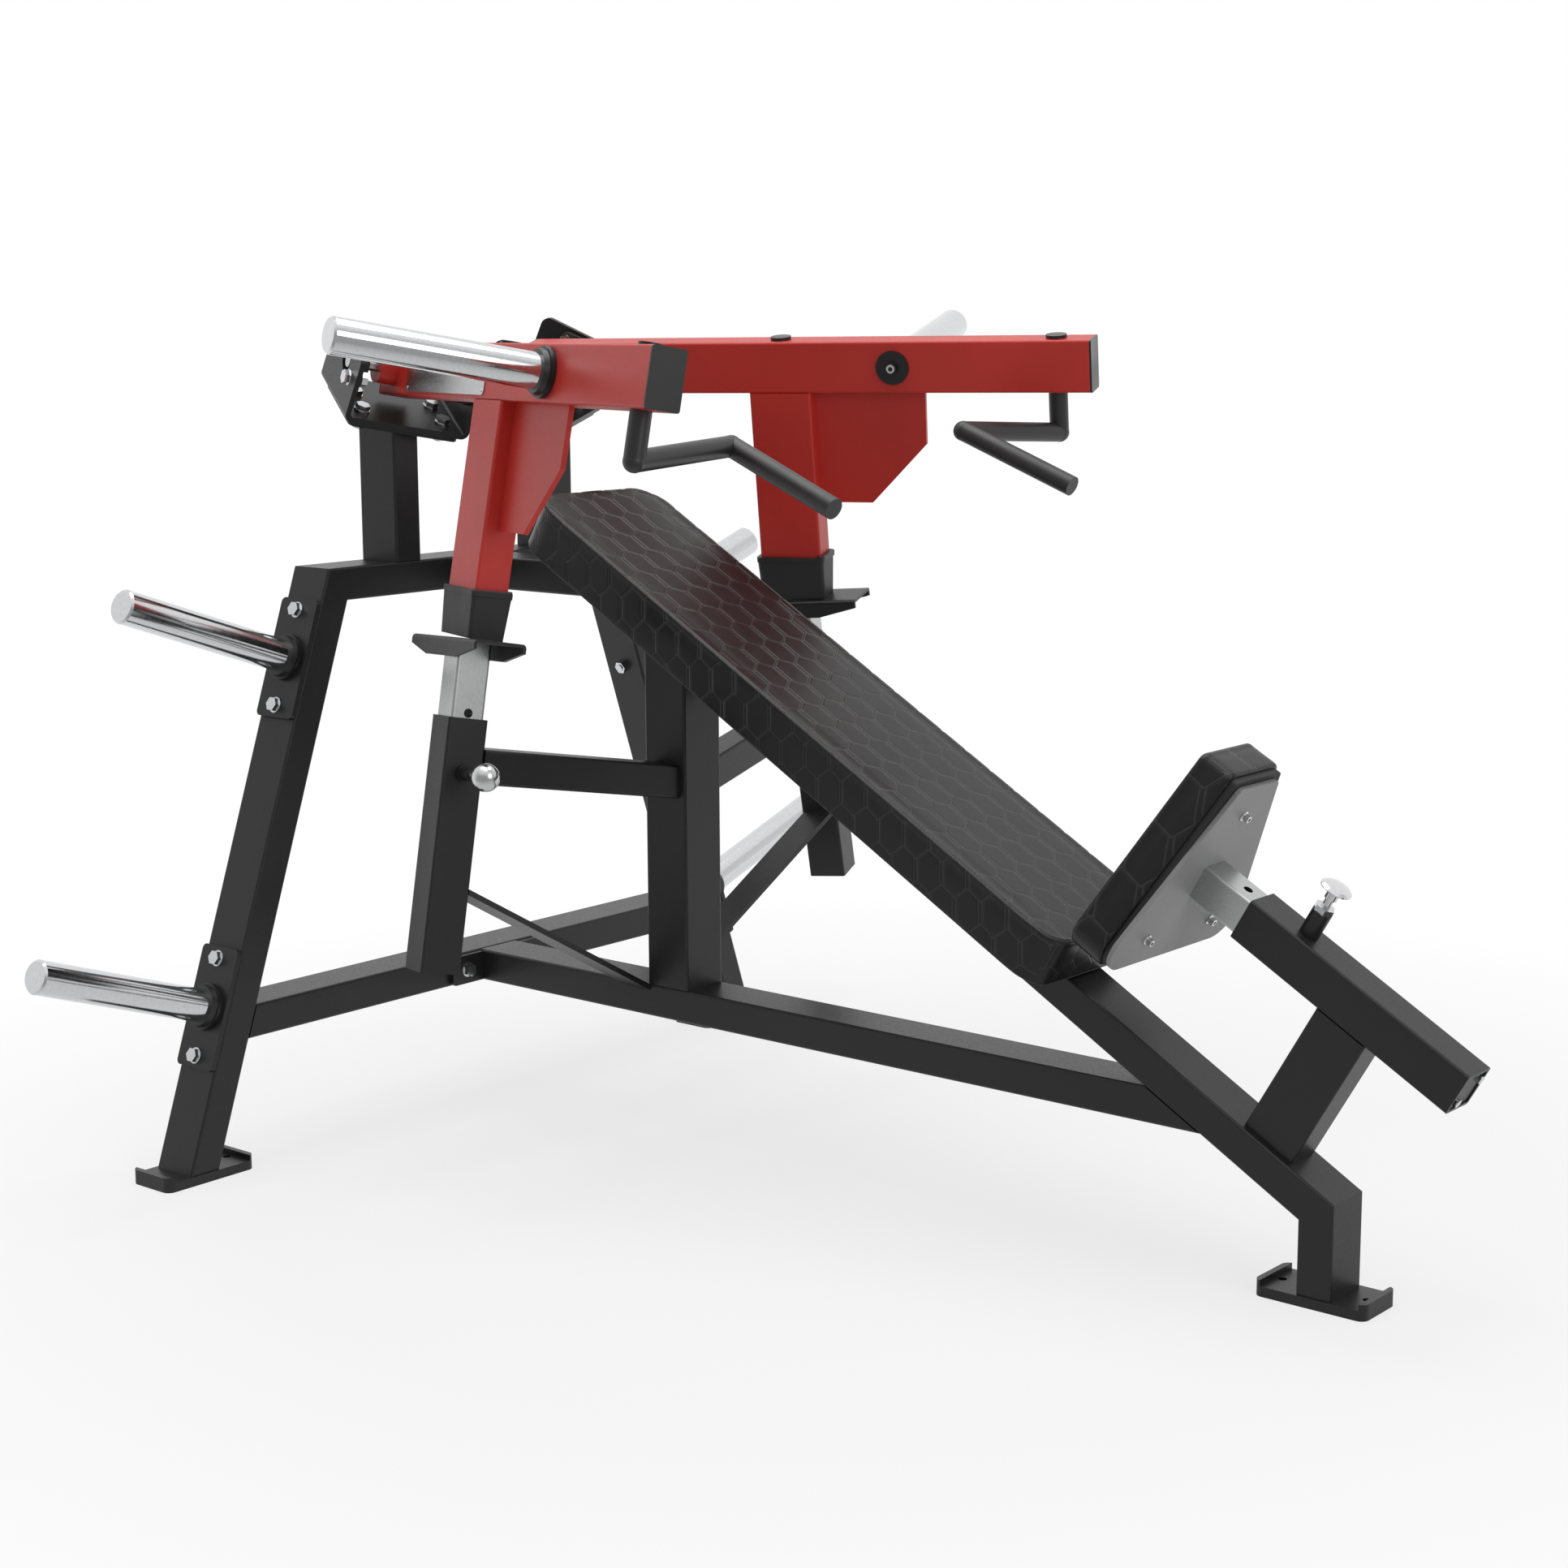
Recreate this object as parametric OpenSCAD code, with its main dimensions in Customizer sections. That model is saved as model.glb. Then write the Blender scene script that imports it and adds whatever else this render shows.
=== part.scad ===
// Plate-loaded incline chest press with two lever arms that converge as they rise.
// X runs from the rear legs to the front foot, Y to the user's left, Z up from the floor.
// Every coordinate below is taken from the plane of the rear legs; the whole machine is
// then moved along X so that the origin lies on the floor under the middle of its length.

/* [Which piece] */
// piece to draw, or all of them

/* [Frame tubes] */
// width of the main tubes
tube_w = 80; // [60:1:100]
// depth of the main tubes
tube_d = 50; // [40:1:60]
// wall of every tube
tube_wall = 3; // [2:0.5:6]
// outer corner radius of the tubes
tube_r = 4; // [2:0.5:8]
// height of the upper face of the top crossbar
frame_top = 881; // [780:1:960]
// outer face of a rear leg at the top crossbar, from the mid-plane
leg_top_y = 327.6; // [280:1:380]
// lean of the rear legs from upright, in degrees
leg_lean = 19.145; // [12:0.1:24]
// height of the upper face of the base tube
base_top = 248; // [200:1:300]
// centre of the post under the bench, ahead of the bend of the incline
post_ahead = 150; // [120:1:200]
// side of the square post under the bench
post_w = 80; // [60:1:100]
// height of the incline where its upper face meets the front post
front_top = 142; // [110:1:180]
// thickness of the bolted flange on the base tube
flange_t = 8; // [6:1:12]
// width of the bolted flange
flange_w = 210; // [180:1:240]
// height of the bolted flange
flange_h = 46; // [40:1:50]
// bolt spacing of the flange
flange_pitch = 150; // [130:1:170]

/* [Incline] */
// slope of the bench and of its tube, in degrees
incline = 30; // [25:0.5:35]
// distance of the tube's upper face from the tilted reference plane
incline_h = 912; // [880:1:940]

/* [Bench] */
// foot of the bench, up the slope from the lower end of the incline
bench_up = 463.6; // [420:0.1:500]
// length of the bench pad
bench_len = 1094; // [950:1:1200]
// width of the bench pad
bench_w = 256; // [220:1:300]
// thickness of the bench pad
bench_pad_t = 60; // [40:1:80]
// thickness of the board under the pad
bench_board_t = 17.7; // [12:0.1:24]
// edge of the board inside the edge of the pad
board_inset = 8; // [4:1:15]
// corner radius at the head of the bench
bench_r_head = 50; // [20:1:80]
// corner radius at the foot of the bench
bench_r_foot = 40; // [20:1:80]

/* [Seat] */
// near end of the seat sleeve, up the slope from the lower end of the incline
sleeve_up = 303.6; // [280:0.1:320]
// length of the seat sleeve
sleeve_len = 355; // [320:1:400]
// outer size of a sleeve
sleeve_w = 60; // [56:1:70]
// size of the square post that slides in a sleeve
slide_w = 50; // [40:1:54]
// clearance between a sleeve and its post, each side
slide_gap = 0.3; // [0.2:0.05:1]
// wall of the sliding posts
slide_wall = 4; // [3:0.5:6]
// thickness of the plate that closes the far end of the seat sleeve
sleeve_end_t = 3; // [2:0.5:5]
// that plate inside the end of the sleeve
sleeve_end_in = 2; // [1:0.5:5]
// underside of the seat sleeve above the incline tube
sleeve_rise = 197; // [170:1:225]
// upper edge of the strut, up the slope from the lower end of the incline
strut_up = 157.6; // [130:0.1:180]
// length of the strut along the slope
strut_len = 80; // [60:1:100]
// face of the seat plate, up the slope from the lower end of the incline
seat_up = 387.6; // [370:0.1:400]
// thickness of the seat plate
seat_plate_t = 6; // [5:1:10]
// thickness of the seat pad
seat_pad_t = 62.7; // [50:0.1:75]
// half width of the seat at its top
seat_top_y = 50; // [40:1:70]
// half width of the seat at its bottom
seat_low_y = 150; // [120:1:180]
// bottom of the seat plate above the incline tube
seat_rise = 101; // [96:1:106]
// length of the seat plate
seat_len = 277; // [250:1:305]
// upper screw of the seat plate below its top
seat_bolt_top = 48; // [30:1:60]
// lower screws of the seat plate above its bottom
seat_bolt_low = 42; // [25:1:60]
// lower screws inside the plate's widest point
seat_bolt_in = 73; // [50:1:90]
// edge of the seat pad outside the edge of the plate
seat_lap = 6; // [2:1:12]
// length of the seat post from the plate
seat_post_len = 372; // [350:1:376]
// spacing of the adjusting holes in the seat post
seat_pitch = 50; // [40:1:60]

/* [Lever arms] */
// pivot, from the plane of the rear legs
pivot_x = 47.9; // [20:0.1:80]
// pivot, from the mid-plane
pivot_y = 164.6; // [150:0.1:180]
// pivot, from the floor
pivot_z = 1169.4; // [1100:0.1:1240]
// outward swing of an arm seen from above, in degrees
arm_yaw = 21.2; // [15:0.1:25]
// rise of an arm at rest, in degrees
arm_rise = 0.4; // [0:0.1:3]
// tilt of an arm's plane, in degrees
arm_tilt = 9.95; // [5:0.05:15]
// width of the lever tube
lever_w = 50; // [40:1:60]
// height of the lever tube
lever_h = 80; // [70:1:90]
// front end of the lever from the pivot, with its cap
lever_front = 870; // [800:1:920]
// rear end of the lever from the pivot, with its cap
lever_back = 47; // [42:1:48]
// thickness of an end cap outside its tube
cap_t = 3; // [2:0.5:6]
// outside diameter of the tube that is welded through the lever
pivot_tube_d = 52; // [45:1:60]
// length of that tube
pivot_tube_len = 104; // [90:1:120]
// diameter of the pivot shaft
shaft_d = 20; // [16:1:25]
// length of the pivot shaft
shaft_len = 196; // [186:1:198]
// centre of the drop leg from the pivot
drop_x = 374.5; // [340:0.5:400]
// size of the drop leg along the lever
drop_len = 100; // [80:1:110]
// lower end of the drop leg below the lever's centre line
drop_end = 356; // [300:1:360]
// underside of the rubber boot below the lever's centre line
boot_end = 370.5; // [364:0.5:385]
// height of the boot
boot_h = 67.5; // [50:0.5:80]
// wall of the boot at its rim
boot_rim = 5; // [3:0.5:8]
// wall of the boot at its foot
boot_foot = 2; // [1:0.5:4]
// thickness of the gusset plate
gusset_t = 8; // [6:1:12]
// length of the gusset along the lever
gusset_len = 179.5; // [150:0.5:200]
// depth of the gusset along the drop leg
gusset_deep = 177.5; // [150:0.5:200]
// centre of the handle's stem from the pivot
grip_x = 812; // [780:1:830]
// depth of the handle's first bend below the lever's centre line
grip_drop = 105; // [90:1:120]
// handle's second bend, from its stem
grip_bend = [-100, -187, -62];
// handle's free end, from its stem
grip_end = [76, -254.5, -127];
// diameter of the handle tube
grip_d = 29; // [25:1:35]
// wall of the handle tube
grip_wall = 2.5; // [2:0.5:5]

// middle of the name plate from the pivot
name_x = 212.5; // [190:0.5:230]
// middle of the name plate above the lever's centre line
name_z = -4; // [-8:1:8]
// length of the name plate
name_len = 295; // [260:1:310]
// height of the name plate
name_h = 60; // [50:1:64]
// thickness of the name plate
name_t = 1.5; // [1:0.5:3]

/* [Weight horns] */
// diameter of every weight horn
horn_d = 50; // [48:1:50]
// wall of a horn
horn_wall = 4; // [3:0.5:8]
// chamfer at the tip of a horn
horn_c = 3; // [1:0.5:5]
// length of an arm horn from the lever's face
arm_horn_len = 307; // [250:1:340]
// arm horn from the pivot
arm_horn_x = 560; // [520:1:600]
// length of a storage horn from the leg's face
store_horn_len = 320; // [250:1:340]
// upper storage horn, down the leg from its top
store_s1 = 141; // [130:1:160]
// lower storage horn, down the leg from its top
store_s2 = 671.5; // [640:0.5:690]
// length of a storage horn's plate
store_plate_len = 182; // [170:1:200]
// thickness of a storage horn's plate
store_plate_t = 8; // [6:1:12]
// bolt spacing of a storage horn's plate
store_pitch = 146; // [130:1:156]
// outer diameter of the collar at the root of a horn
collar_d = 70; // [64:1:78]
// width of the collar
collar_t = 16; // [10:1:22]

/* [Pivot brackets] */
// outside width of a bracket
br_w = 200; // [196:1:220]
// length of a bracket
br_len = 144; // [120:1:160]
// height of the uprights at their centre line above the top crossbar
upright_len = 330; // [300:1:360]
// height of a bracket's ears
br_h = 104; // [98:1:120]
// plate thickness of a bracket
br_t = 8; // [6:1:8]
// nose-down pitch of a bracket against its arm, in degrees
br_pitch = 26; // [20:0.5:30]
// height of the pivot above the underside of the bracket
br_rise = 72.5; // [72:0.5:80]
// pivot ahead of the middle of the bracket
br_ahead = 12.9; // [5:0.1:20]
// centre of the uprights from the mid-plane
upright_y = 167; // [155:1:175]
// thickness of the bearing flange
bearing_t = 8; // [6:1:12]
// diameter of the bearing hub
hub_d = 42; // [36:1:44]
// length of the hub beyond its flange
hub_len = 14; // [8:1:20]
// distance of a bearing bolt from the pivot
bearing_pitch = 34; // [33:0.5:36]

/* [Start stops] */
// axis of a stop post, from the plane of the rear legs
stand_x = 374.4; // [360:0.1:390]
// axis of a stop post, from the mid-plane
stand_y = 369.0; // [355:0.1:385]
// height of the reference point on a stop post
stand_z = 778.1; // [740:0.1:800]
// outward swing of a stop post seen from above, in degrees
stand_yaw = 19.74; // [15:0.01:25]
// backward lean of a stop post, in degrees
stand_rise = 3.61; // [0:0.01:6]
// outward lean of a stop post's foot, in degrees
stand_tilt = 10.04; // [5:0.01:15]
// top of a stop sleeve below the reference point
stop_n1 = 84.2; // [70:0.1:100]
// length of a stop sleeve
stop_len = 360.6; // [320:0.1:400]
// length of a stop post under its plate
stop_post_len = 400; // [350:1:405]
// spacing of the adjusting holes in a stop post
stop_pitch = 28; // [26:1:30]
// pull pin below the reference point
stop_pin_n = 161; // [150:1:170]
// width of the stop plate
stop_w = 79; // [70:1:90]
// thickness of the stop plate
stop_t = 5; // [4:1:8]
// stop plate ahead of its post's axis
stop_fore = 107; // [95:1:115]
// stop plate behind its post's axis
stop_aft = 110; // [95:1:115]
// depth of the stop plate's flanges at the ends
stop_lip = 13; // [10:1:18]
// depth of the stop plate's flanges in the middle
stop_deep = 27; // [20:1:35]
// gap between the boot and the stop plate
boot_gap = 0.3; // [0.3:0.1:1]
// outer end of a brace on its stop sleeve
brace_from = [389, 382, 628];
// inner end of a brace, ahead of the middle of the post under the bench
brace_in = 3; // [0:1:8]
// height of that end
brace_z = 567; // [540:1:600]
// outer end of a diagonal flat on its stop sleeve
flat_from = [387, 405, 449];
// size of the brace tubes
brace_w = 50; // [40:1:55]
// width of the diagonal flats
flat_w = 50; // [40:1:60]
// thickness of the diagonal flats
flat_t = 8; // [6:1:10]

/* [Pull pins] */
// diameter of a pin's nose
pin_d = 12; // [10:0.5:14]
// travel of a pin
pin_stroke = 12; // [8:1:14]
// running clearance of a pin in its barrel
pin_gap = 0.06; // [0.03:0.01:0.1]
// outer diameter of a stop pin's barrel
barrel_d = 19; // [17:1:24]
// length of a stop pin's barrel
barrel_len = 30; // [20:1:36]
// diameter of the foot of a stop pin's barrel
barrel_foot_d = 24; // [20:1:30]
// thickness of the foot of a stop pin's barrel
barrel_foot_t = 8; // [4:1:12]
// diameter of a stop pin's ball knob
ball_d = 40; // [32:1:45]
// centre of the ball from the face of the sleeve
ball_x = 77; // [70:1:85]
// seat pin from the near end of the seat sleeve
seat_pin_in = 78; // [60:1:95]
// outer diameter of the seat pin's barrel
seat_barrel_d = 27; // [20:1:30]
// length of the seat pin's barrel
seat_barrel_len = 37; // [30:1:40]
// across flats of the lock nut on the seat pin's barrel
lock_af = 24; // [19:1:27]
// height of that lock nut
lock_t = 8; // [6:0.5:10]
// diameter of the seat pin's neck
neck_d = 17; // [14:1:20]
// length of the seat pin's neck
neck_len = 12; // [8:1:12]
// diameter of the seat pin's knob
knob_d = 43; // [36:1:46]
// thickness of the seat pin's knob
knob_t = 10; // [7:1:13]

/* [Feet] */
// length of a foot plate
foot_len = 160; // [140:1:190]
// width of a foot plate
foot_w = 85; // [80:1:100]
// thickness of a foot plate
foot_t = 14; // [8:1:20]
// height of the raised lip at each end of a foot plate
foot_lip = 22; // [16:1:30]
// width of that lip
foot_lip_w = 9; // [6:1:10]
// corner radius of a foot plate
foot_r = 12; // [6:1:20]
// spacing of the two floor-bolt holes in a foot plate
foot_pitch = 122; // [110:1:130]
// diameter of the floor-bolt holes
foot_hole = 12; // [10:1:14]
// foot plate inside the centre of its leg
foot_shift = 10; // [0:1:16]

/* [Fasteners] */
// across flats of the hex heads and nuts
hex_af = 19; // [16:1:21]
// height of a hex head
head_t = 8; // [6:0.5:10]
// diameter of a washer
washer_d = 24; // [21:1:26]
// thickness of a washer
washer_t = 2.5; // [1.5:0.5:3]
// height of a nut
nut_t = 10; // [8:0.5:12]
// diameter of a bolt
bolt_d = 12; // [10:1:14]
// clearance of a bolt in its hole, each side
bolt_gap = 0.5; // [0.2:0.1:1]

/* [Hidden] */
black = [0.13, 0.13, 0.14];
red = [0.62, 0.16, 0.15];
chrome = [0.86, 0.86, 0.88];
steel = [0.55, 0.55, 0.57];
trim = [0.06, 0.06, 0.06];
cushion = [0.10, 0.10, 0.11];
big = 1500;
fn_round = 64;
hole_d = bolt_d + 2 * bolt_gap;
hex_d = hex_af / cos(30);
spigot_r = horn_d / 2 - 0.5;
arm_e = [arm_tilt, -arm_rise, arm_yaw];
stand_e = [stand_tilt, -stand_rise, stand_yaw];
pivot_c = [pivot_x, pivot_y, pivot_z];
stand_c = [stand_x, stand_y, stand_z];
frame_low = frame_top - tube_d;
base_low = base_top - tube_d;
incline_low = incline_h - tube_d;
front_x = incline_x(incline_h, front_top);
post_x = incline_x(incline_h, frame_top) + post_ahead;
slope_end = front_x * cos(incline) - front_top * sin(incline);
bench_s0 = slope_end - bench_up - bench_len;
sleeve_s0 = slope_end - sleeve_up;
sleeve_s1 = sleeve_s0 + sleeve_len;
strut_s0 = slope_end - strut_up;
seat_s = slope_end - seat_up;
seat_h0 = incline_h + seat_rise;
seat_h1 = seat_h0 + seat_len;
seat_pin_s = sleeve_s0 + seat_pin_in;
sleeve_h0 = incline_h + sleeve_rise;
pad_h0 = incline_h + bench_board_t + 0.3;
sleeve_mid = sleeve_h0 + sleeve_w / 2;
sleeve_h1 = sleeve_h0 + sleeve_w;
post_face = slide_w / 2;
sleeve_face = sleeve_w / 2;
sleeve_bore = slide_w + 2 * slide_gap;
barrel_top = seat_barrel_len + lock_t;
neck_h = barrel_top + pin_stroke + 0.6;
knob_h = neck_h + neck_len;
leg_dy = tube_d / cos(leg_lean);
leg_foot_y = leg_y(foot_t) - leg_dy / 2 - foot_shift;
front_foot_x = front_x - tube_d / 2 - foot_shift / 2;
flange_z = (base_top + base_low) / 2 - 1;
bearing_a = br_w / 2 - br_t;
bearing_turn = -22.5;
stop_top = min([for (a = [-1, 1]) stand_n(arm_at([drop_x + drop_len / 2 + boot_foot,
  a * (lever_w / 2), -boot_end]))]) - boot_gap;
stop_n0 = -stop_n1 - stop_len;
handle_path = [[grip_x, 0, -lever_h / 2], [grip_x, 0, -grip_drop], [grip_x, 0, 0] + grip_bend,
  [grip_x, 0, 0] + grip_end];
brace_to = [post_x + brace_in, tube_w / 2, brace_z];
flat_to = [flat_from.x, tube_w / 2, base_top - flat_t / 2 - 1];
seat_bolts = [[0, seat_h1 - seat_bolt_top], [seat_low_y - seat_bolt_in, seat_h0 + seat_bolt_low],
  [seat_bolt_in - seat_low_y, seat_h0 + seat_bolt_low]];
sleeve_end_bolts = [[1, 1], [-1, -1]] * (sleeve_w / 4);
base_bolts = [[41, 65], [41, -65], [-12, 62], [-12, -62]];
// X of the machine's rearmost point, the bend of a pivot bracket, and of its foremost one
br_a = turn(arm_e, [0, 1, 0]).x;
br_m = turn(arm_e, ry(br_pitch, [0, 0, 1])).x;
br_bend = 12;
x_min = bracket_at([-br_len / 2, 0, 0]).x + br_a * (br_w / 2 - br_bend) + br_m * br_bend
  - br_bend * norm([br_a, br_m]);
x_max = incline_at([sleeve_s1, 0, sleeve_h1]).x;
origin_x = (x_min + x_max) / 2;

function rx(a, v) = [v.x, cos(a) * v.y - sin(a) * v.z, sin(a) * v.y + cos(a) * v.z];
function ry(a, v) = [cos(a) * v.x + sin(a) * v.z, v.y, -sin(a) * v.x + cos(a) * v.z];
function rz(a, v) = [cos(a) * v.x - sin(a) * v.y, sin(a) * v.x + cos(a) * v.y, v.z];
function turn(e, v) = rz(e.z, ry(e.y, rx(e.x, v)));
function arm_at(p) = pivot_c + turn(arm_e, p);
function bracket_at(p) = arm_at(ry(br_pitch, p - [br_ahead, 0, br_rise]));
function stand_n(p) = (p - stand_c) * turn(stand_e, [0, 0, 1]);
function incline_at(p) = ry(incline, p);
function incline_x(h, z) = (h - z * cos(incline)) / sin(incline);
function incline_z(h, x) = (h - x * sin(incline)) / cos(incline);
function leg_y(z) = leg_top_y + (frame_top - z) * tan(leg_lean);
function leg_at(p) = [0, leg_top_y, frame_top] + rx(leg_lean, p);
function unit(v) = v / norm(v);

// Frames: each draws its children in the local axes of one group of pieces.
module place() translate([-origin_x, 0, 0]) children();
module side_of(side) mirror([0, side < 0 ? 1 : 0, 0]) children();
module arm_frame(side) side_of(side) translate(pivot_c) rotate(arm_e) children();
module bracket_frame(side)
  arm_frame(side) rotate([0, br_pitch, 0]) translate([-br_ahead, 0, -br_rise]) children();
module stand_frame(side) side_of(side) translate(stand_c) rotate(stand_e) children();
module incline_frame() rotate([0, incline, 0]) children();
module leg_frame(side)
  side_of(side) translate([0, leg_top_y, frame_top]) rotate([leg_lean, 0, 0]) children();

// Everything on the side of a plane to which n points.
module beyond(p, n)
  translate(p) rotate([0, acos(n.z / norm(n)), atan2(n.y, n.x)])
    translate([-big, -big, 0]) cube(2 * big);

// Flat shapes.
module rounded(w, h, r) {
  square([w - 2 * r, h], center = true);
  square([w, h - 2 * r], center = true);
  for (x = [-1, 1], y = [-1, 1])
    translate([x * (w / 2 - r), y * (h / 2 - r)]) circle(r = r, $fn = fn_round);
}
module ring(w, h, t, r) difference() {
  rounded(w, h, r);
  rounded(w - 2 * t, h - 2 * t, max(r - t, 0.5));
}

// Bars and hollow sections along each axis.
module along_x(x0, x1) translate([x0, 0, 0]) rotate([90, 0, 90])
  linear_extrude(x1 - x0) children();
module along_y(y0, y1) translate([0, y1, 0]) rotate([90, 0, 0])
  linear_extrude(y1 - y0) children();
module along_z(z0, z1) translate([0, 0, z0]) linear_extrude(z1 - z0) children();

// Round pieces along one axis.
module rod_x(d, x0, x1) translate([x0, 0, 0]) rotate([0, 90, 0])
  cylinder(d = d, h = x1 - x0, $fn = fn_round);
module rod_y(d, y0, y1) translate([0, y0, 0]) rotate([-90, 0, 0])
  cylinder(d = d, h = y1 - y0, $fn = fn_round);
module rod_z(d, z0, z1) translate([0, 0, z0]) cylinder(d = d, h = z1 - z0, $fn = fn_round);

// Rear frame.
module leg_mitre(side, s)
  side_of(side) beyond([0, leg_top_y, frame_top],
    s * [0, tube_d, leg_y(frame_low) - leg_dy - leg_top_y]);

module rear_leg(side) color(black) difference() {
  leg_frame(side) translate([0, -tube_d / 2, 0])
    along_z(-(frame_top + 30) / cos(leg_lean), 40) ring(tube_w, tube_d, tube_wall, tube_r);
  leg_mitre(side, -1);
  beyond([0, 0, foot_t], [0, 0, -1]);
  for (s = [store_s1, store_s2], k = [-1, 1])
    leg_frame(side) translate([0, 0, -s + k * store_pitch / 2]) rod_y(hole_d, -tube_d - 1, 1);
}

module top_crossbar() color(black) difference() {
  translate([0, 0, frame_top - tube_d / 2])
    along_y(-leg_top_y - 20, leg_top_y + 20) ring(tube_w, tube_d, tube_wall, tube_r);
  leg_mitre(1, 1);
  leg_mitre(-1, 1);
}

module lower_crossbar() color(black) difference() {
  translate([0, 0, base_top - tube_d / 2])
    along_y(-leg_y(base_low), leg_y(base_low)) ring(tube_w, tube_d, tube_wall, tube_r);
  for (side = [-1, 1]) side_of(side)
    beyond(leg_at([0, -tube_d, 0]), [0, cos(leg_lean), sin(leg_lean)]);
  for (k = [-1, 1]) translate([0, k * flange_pitch / 2, flange_z])
    rod_x(hole_d, tube_w / 2 - tube_wall - 1, tube_w / 2 + 1);
}

module pivot_uprights() color(black) for (side = [-1, 1]) {
  difference() {
    side_of(side) translate([0, upright_y, 0])
      along_z(frame_top, frame_top + upright_len) ring(tube_w, tube_d, tube_wall, tube_r);
    bracket_frame(side) translate([-big, -big, -br_t]) cube(2 * big);
  }
  bracket_frame(side) difference() {
    translate([0, 0, -br_t]) along_z(0, br_t) rounded(br_len - 8, br_w - 24, 10);
    for (p = base_bolts) translate([p.x, p.y, 0]) rod_z(hole_d, -br_t - 1, 1);
  }
}

// Lower frame.  The base tube and the post end on the underside of the incline tube.
module under_incline(x)
  beyond([x, 0, incline_z(incline_low, x)], [sin(incline), 0, cos(incline)]);

module base_tube() color(black) {
  difference() {
    translate([0, 0, base_top - tube_d / 2])
      along_x(tube_w / 2 + flange_t / 2, incline_x(incline_low, base_low) + 30)
        ring(tube_w, tube_d, tube_wall, tube_r);
    under_incline(incline_x(incline_low, base_low));
  }
  difference() {
    translate([0, 0, flange_z])
      along_x(tube_w / 2, tube_w / 2 + flange_t) rounded(flange_w, flange_h, 6);
    for (k = [-1, 1]) translate([0, k * flange_pitch / 2, flange_z])
      rod_x(hole_d, tube_w / 2 - 1, tube_w / 2 + flange_t + 1);
  }
}

module center_post() color(black) difference() {
  translate([post_x, 0, 0])
    along_z(base_top, frame_top) ring(post_w, tube_w, tube_wall, tube_r);
  under_incline(post_x);
}

module rear_mitre(s) beyond([incline_x(incline_h, frame_top), 0, frame_top],
  s * [tube_d, 0, incline_x(incline_low, frame_low) - incline_x(incline_h, frame_top)]);

module front_mitre(s) beyond([front_x, 0, incline_z(incline_h, front_x)],
  s * [incline_z(incline_h, front_x) - incline_z(incline_low, front_x - tube_d), 0, -tube_d]);

module top_rail() color(black) difference() {
  translate([0, 0, frame_top - tube_d / 2])
    along_x(tube_w / 2, incline_x(incline_h, frame_top) + 40)
      ring(tube_w, tube_d, tube_wall, tube_r);
  rear_mitre(1);
}

module incline_tube() color(black) difference() {
  incline_frame() translate([0, 0, incline_h - tube_d / 2])
    along_x(bench_s0, (front_x + 80) / cos(incline)) ring(tube_w, tube_d, tube_wall, tube_r);
  rear_mitre(-1);
  front_mitre(1);
}

module front_post() color(black) difference() {
  translate([front_x - tube_d / 2, 0, 0])
    along_z(foot_t, base_top) ring(tube_d, tube_w, tube_wall, tube_r);
  front_mitre(-1);
}

module seat_strut() color(black) incline_frame()
  translate([strut_s0 + strut_len / 2, 0, 0])
    along_z(incline_h, sleeve_h0) ring(strut_len, sleeve_w, tube_wall, tube_r);

// The plate in the far end of the seat sleeve is held by two screws.
module seat_sleeve() color(black) incline_frame() difference() {
  translate([0, 0, sleeve_mid]) {
    along_x(sleeve_s0, sleeve_s1)
      ring(sleeve_w, sleeve_w, (sleeve_w - sleeve_bore) / 2, tube_r);
    along_x(sleeve_s1 - sleeve_end_in - sleeve_end_t, sleeve_s1 - sleeve_end_in)
      square(sleeve_bore + 2, center = true);
  }
  translate([seat_pin_s, 0, 0]) rod_z(pin_d + 2 * pin_gap, sleeve_mid, sleeve_h1 + 1);
}

// Stop stands.
module stop_sleeve(side) color(black) stand_frame(side) difference() {
  along_z(stop_n0, -stop_n1) ring(sleeve_w, sleeve_w, (sleeve_w - sleeve_bore) / 2, tube_r);
  translate([0, 0, -stop_pin_n]) rod_x(pin_d + 2 * pin_gap, 0, sleeve_face + 1);
}

module brace(side) {
  d = brace_to - brace_from;
  difference() {
    side_of(side) translate(brace_from)
      rotate([0, -asin(d.z / norm(d)), atan2(d.y, d.x)])
        along_x(-60, norm(d) + 60) ring(brace_w, brace_w, tube_wall, tube_r);
    stand_frame(side) translate([-big, -sleeve_face, -big]) cube(2 * big);
    side_of(side) beyond([brace_to.x, tube_w / 2, brace_to.z], [0, -1, 0]);
  }
}
module stand_braces() color(black) for (side = [-1, 1]) brace(side);

module diagonal(side) {
  d = flat_to - flat_from;
  difference() {
    side_of(side) translate([flat_from.x, flat_from.y, flat_from.z])
      rotate([0, -asin(d.z / norm(d)), atan2(d.y, d.x)])
        along_x(-60, norm(d) + 60) square([flat_w, flat_t], center = true);
    stand_frame(side) translate([-big, -sleeve_face, -big]) cube(2 * big);
    side_of(side) beyond(flat_to, [0, -1, 0]);
  }
}
module stand_diagonals() color(black) for (side = [-1, 1]) diagonal(side);

// Feet.
module foot() difference() {
  union() {
    along_z(0, foot_t) rounded(foot_len, foot_w, foot_r);
    intersection() {
      along_z(0, foot_lip) rounded(foot_len, foot_w, foot_r);
      for (k = [-1, 1]) translate([k * (foot_len / 2 - foot_lip_w / 2), 0, foot_lip / 2])
        cube([foot_lip_w, foot_w, foot_lip], center = true);
    }
  }
  for (k = [-1, 1]) translate([k * foot_pitch / 2, 0, 0]) rod_z(foot_hole, -1, foot_lip);
}

module foot_plates() color(black) {
  for (side = [-1, 1]) translate([0, side * leg_foot_y, 0]) rotate([0, 0, 90]) foot();
  translate([front_foot_x, 0, 0]) foot();
}

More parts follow.
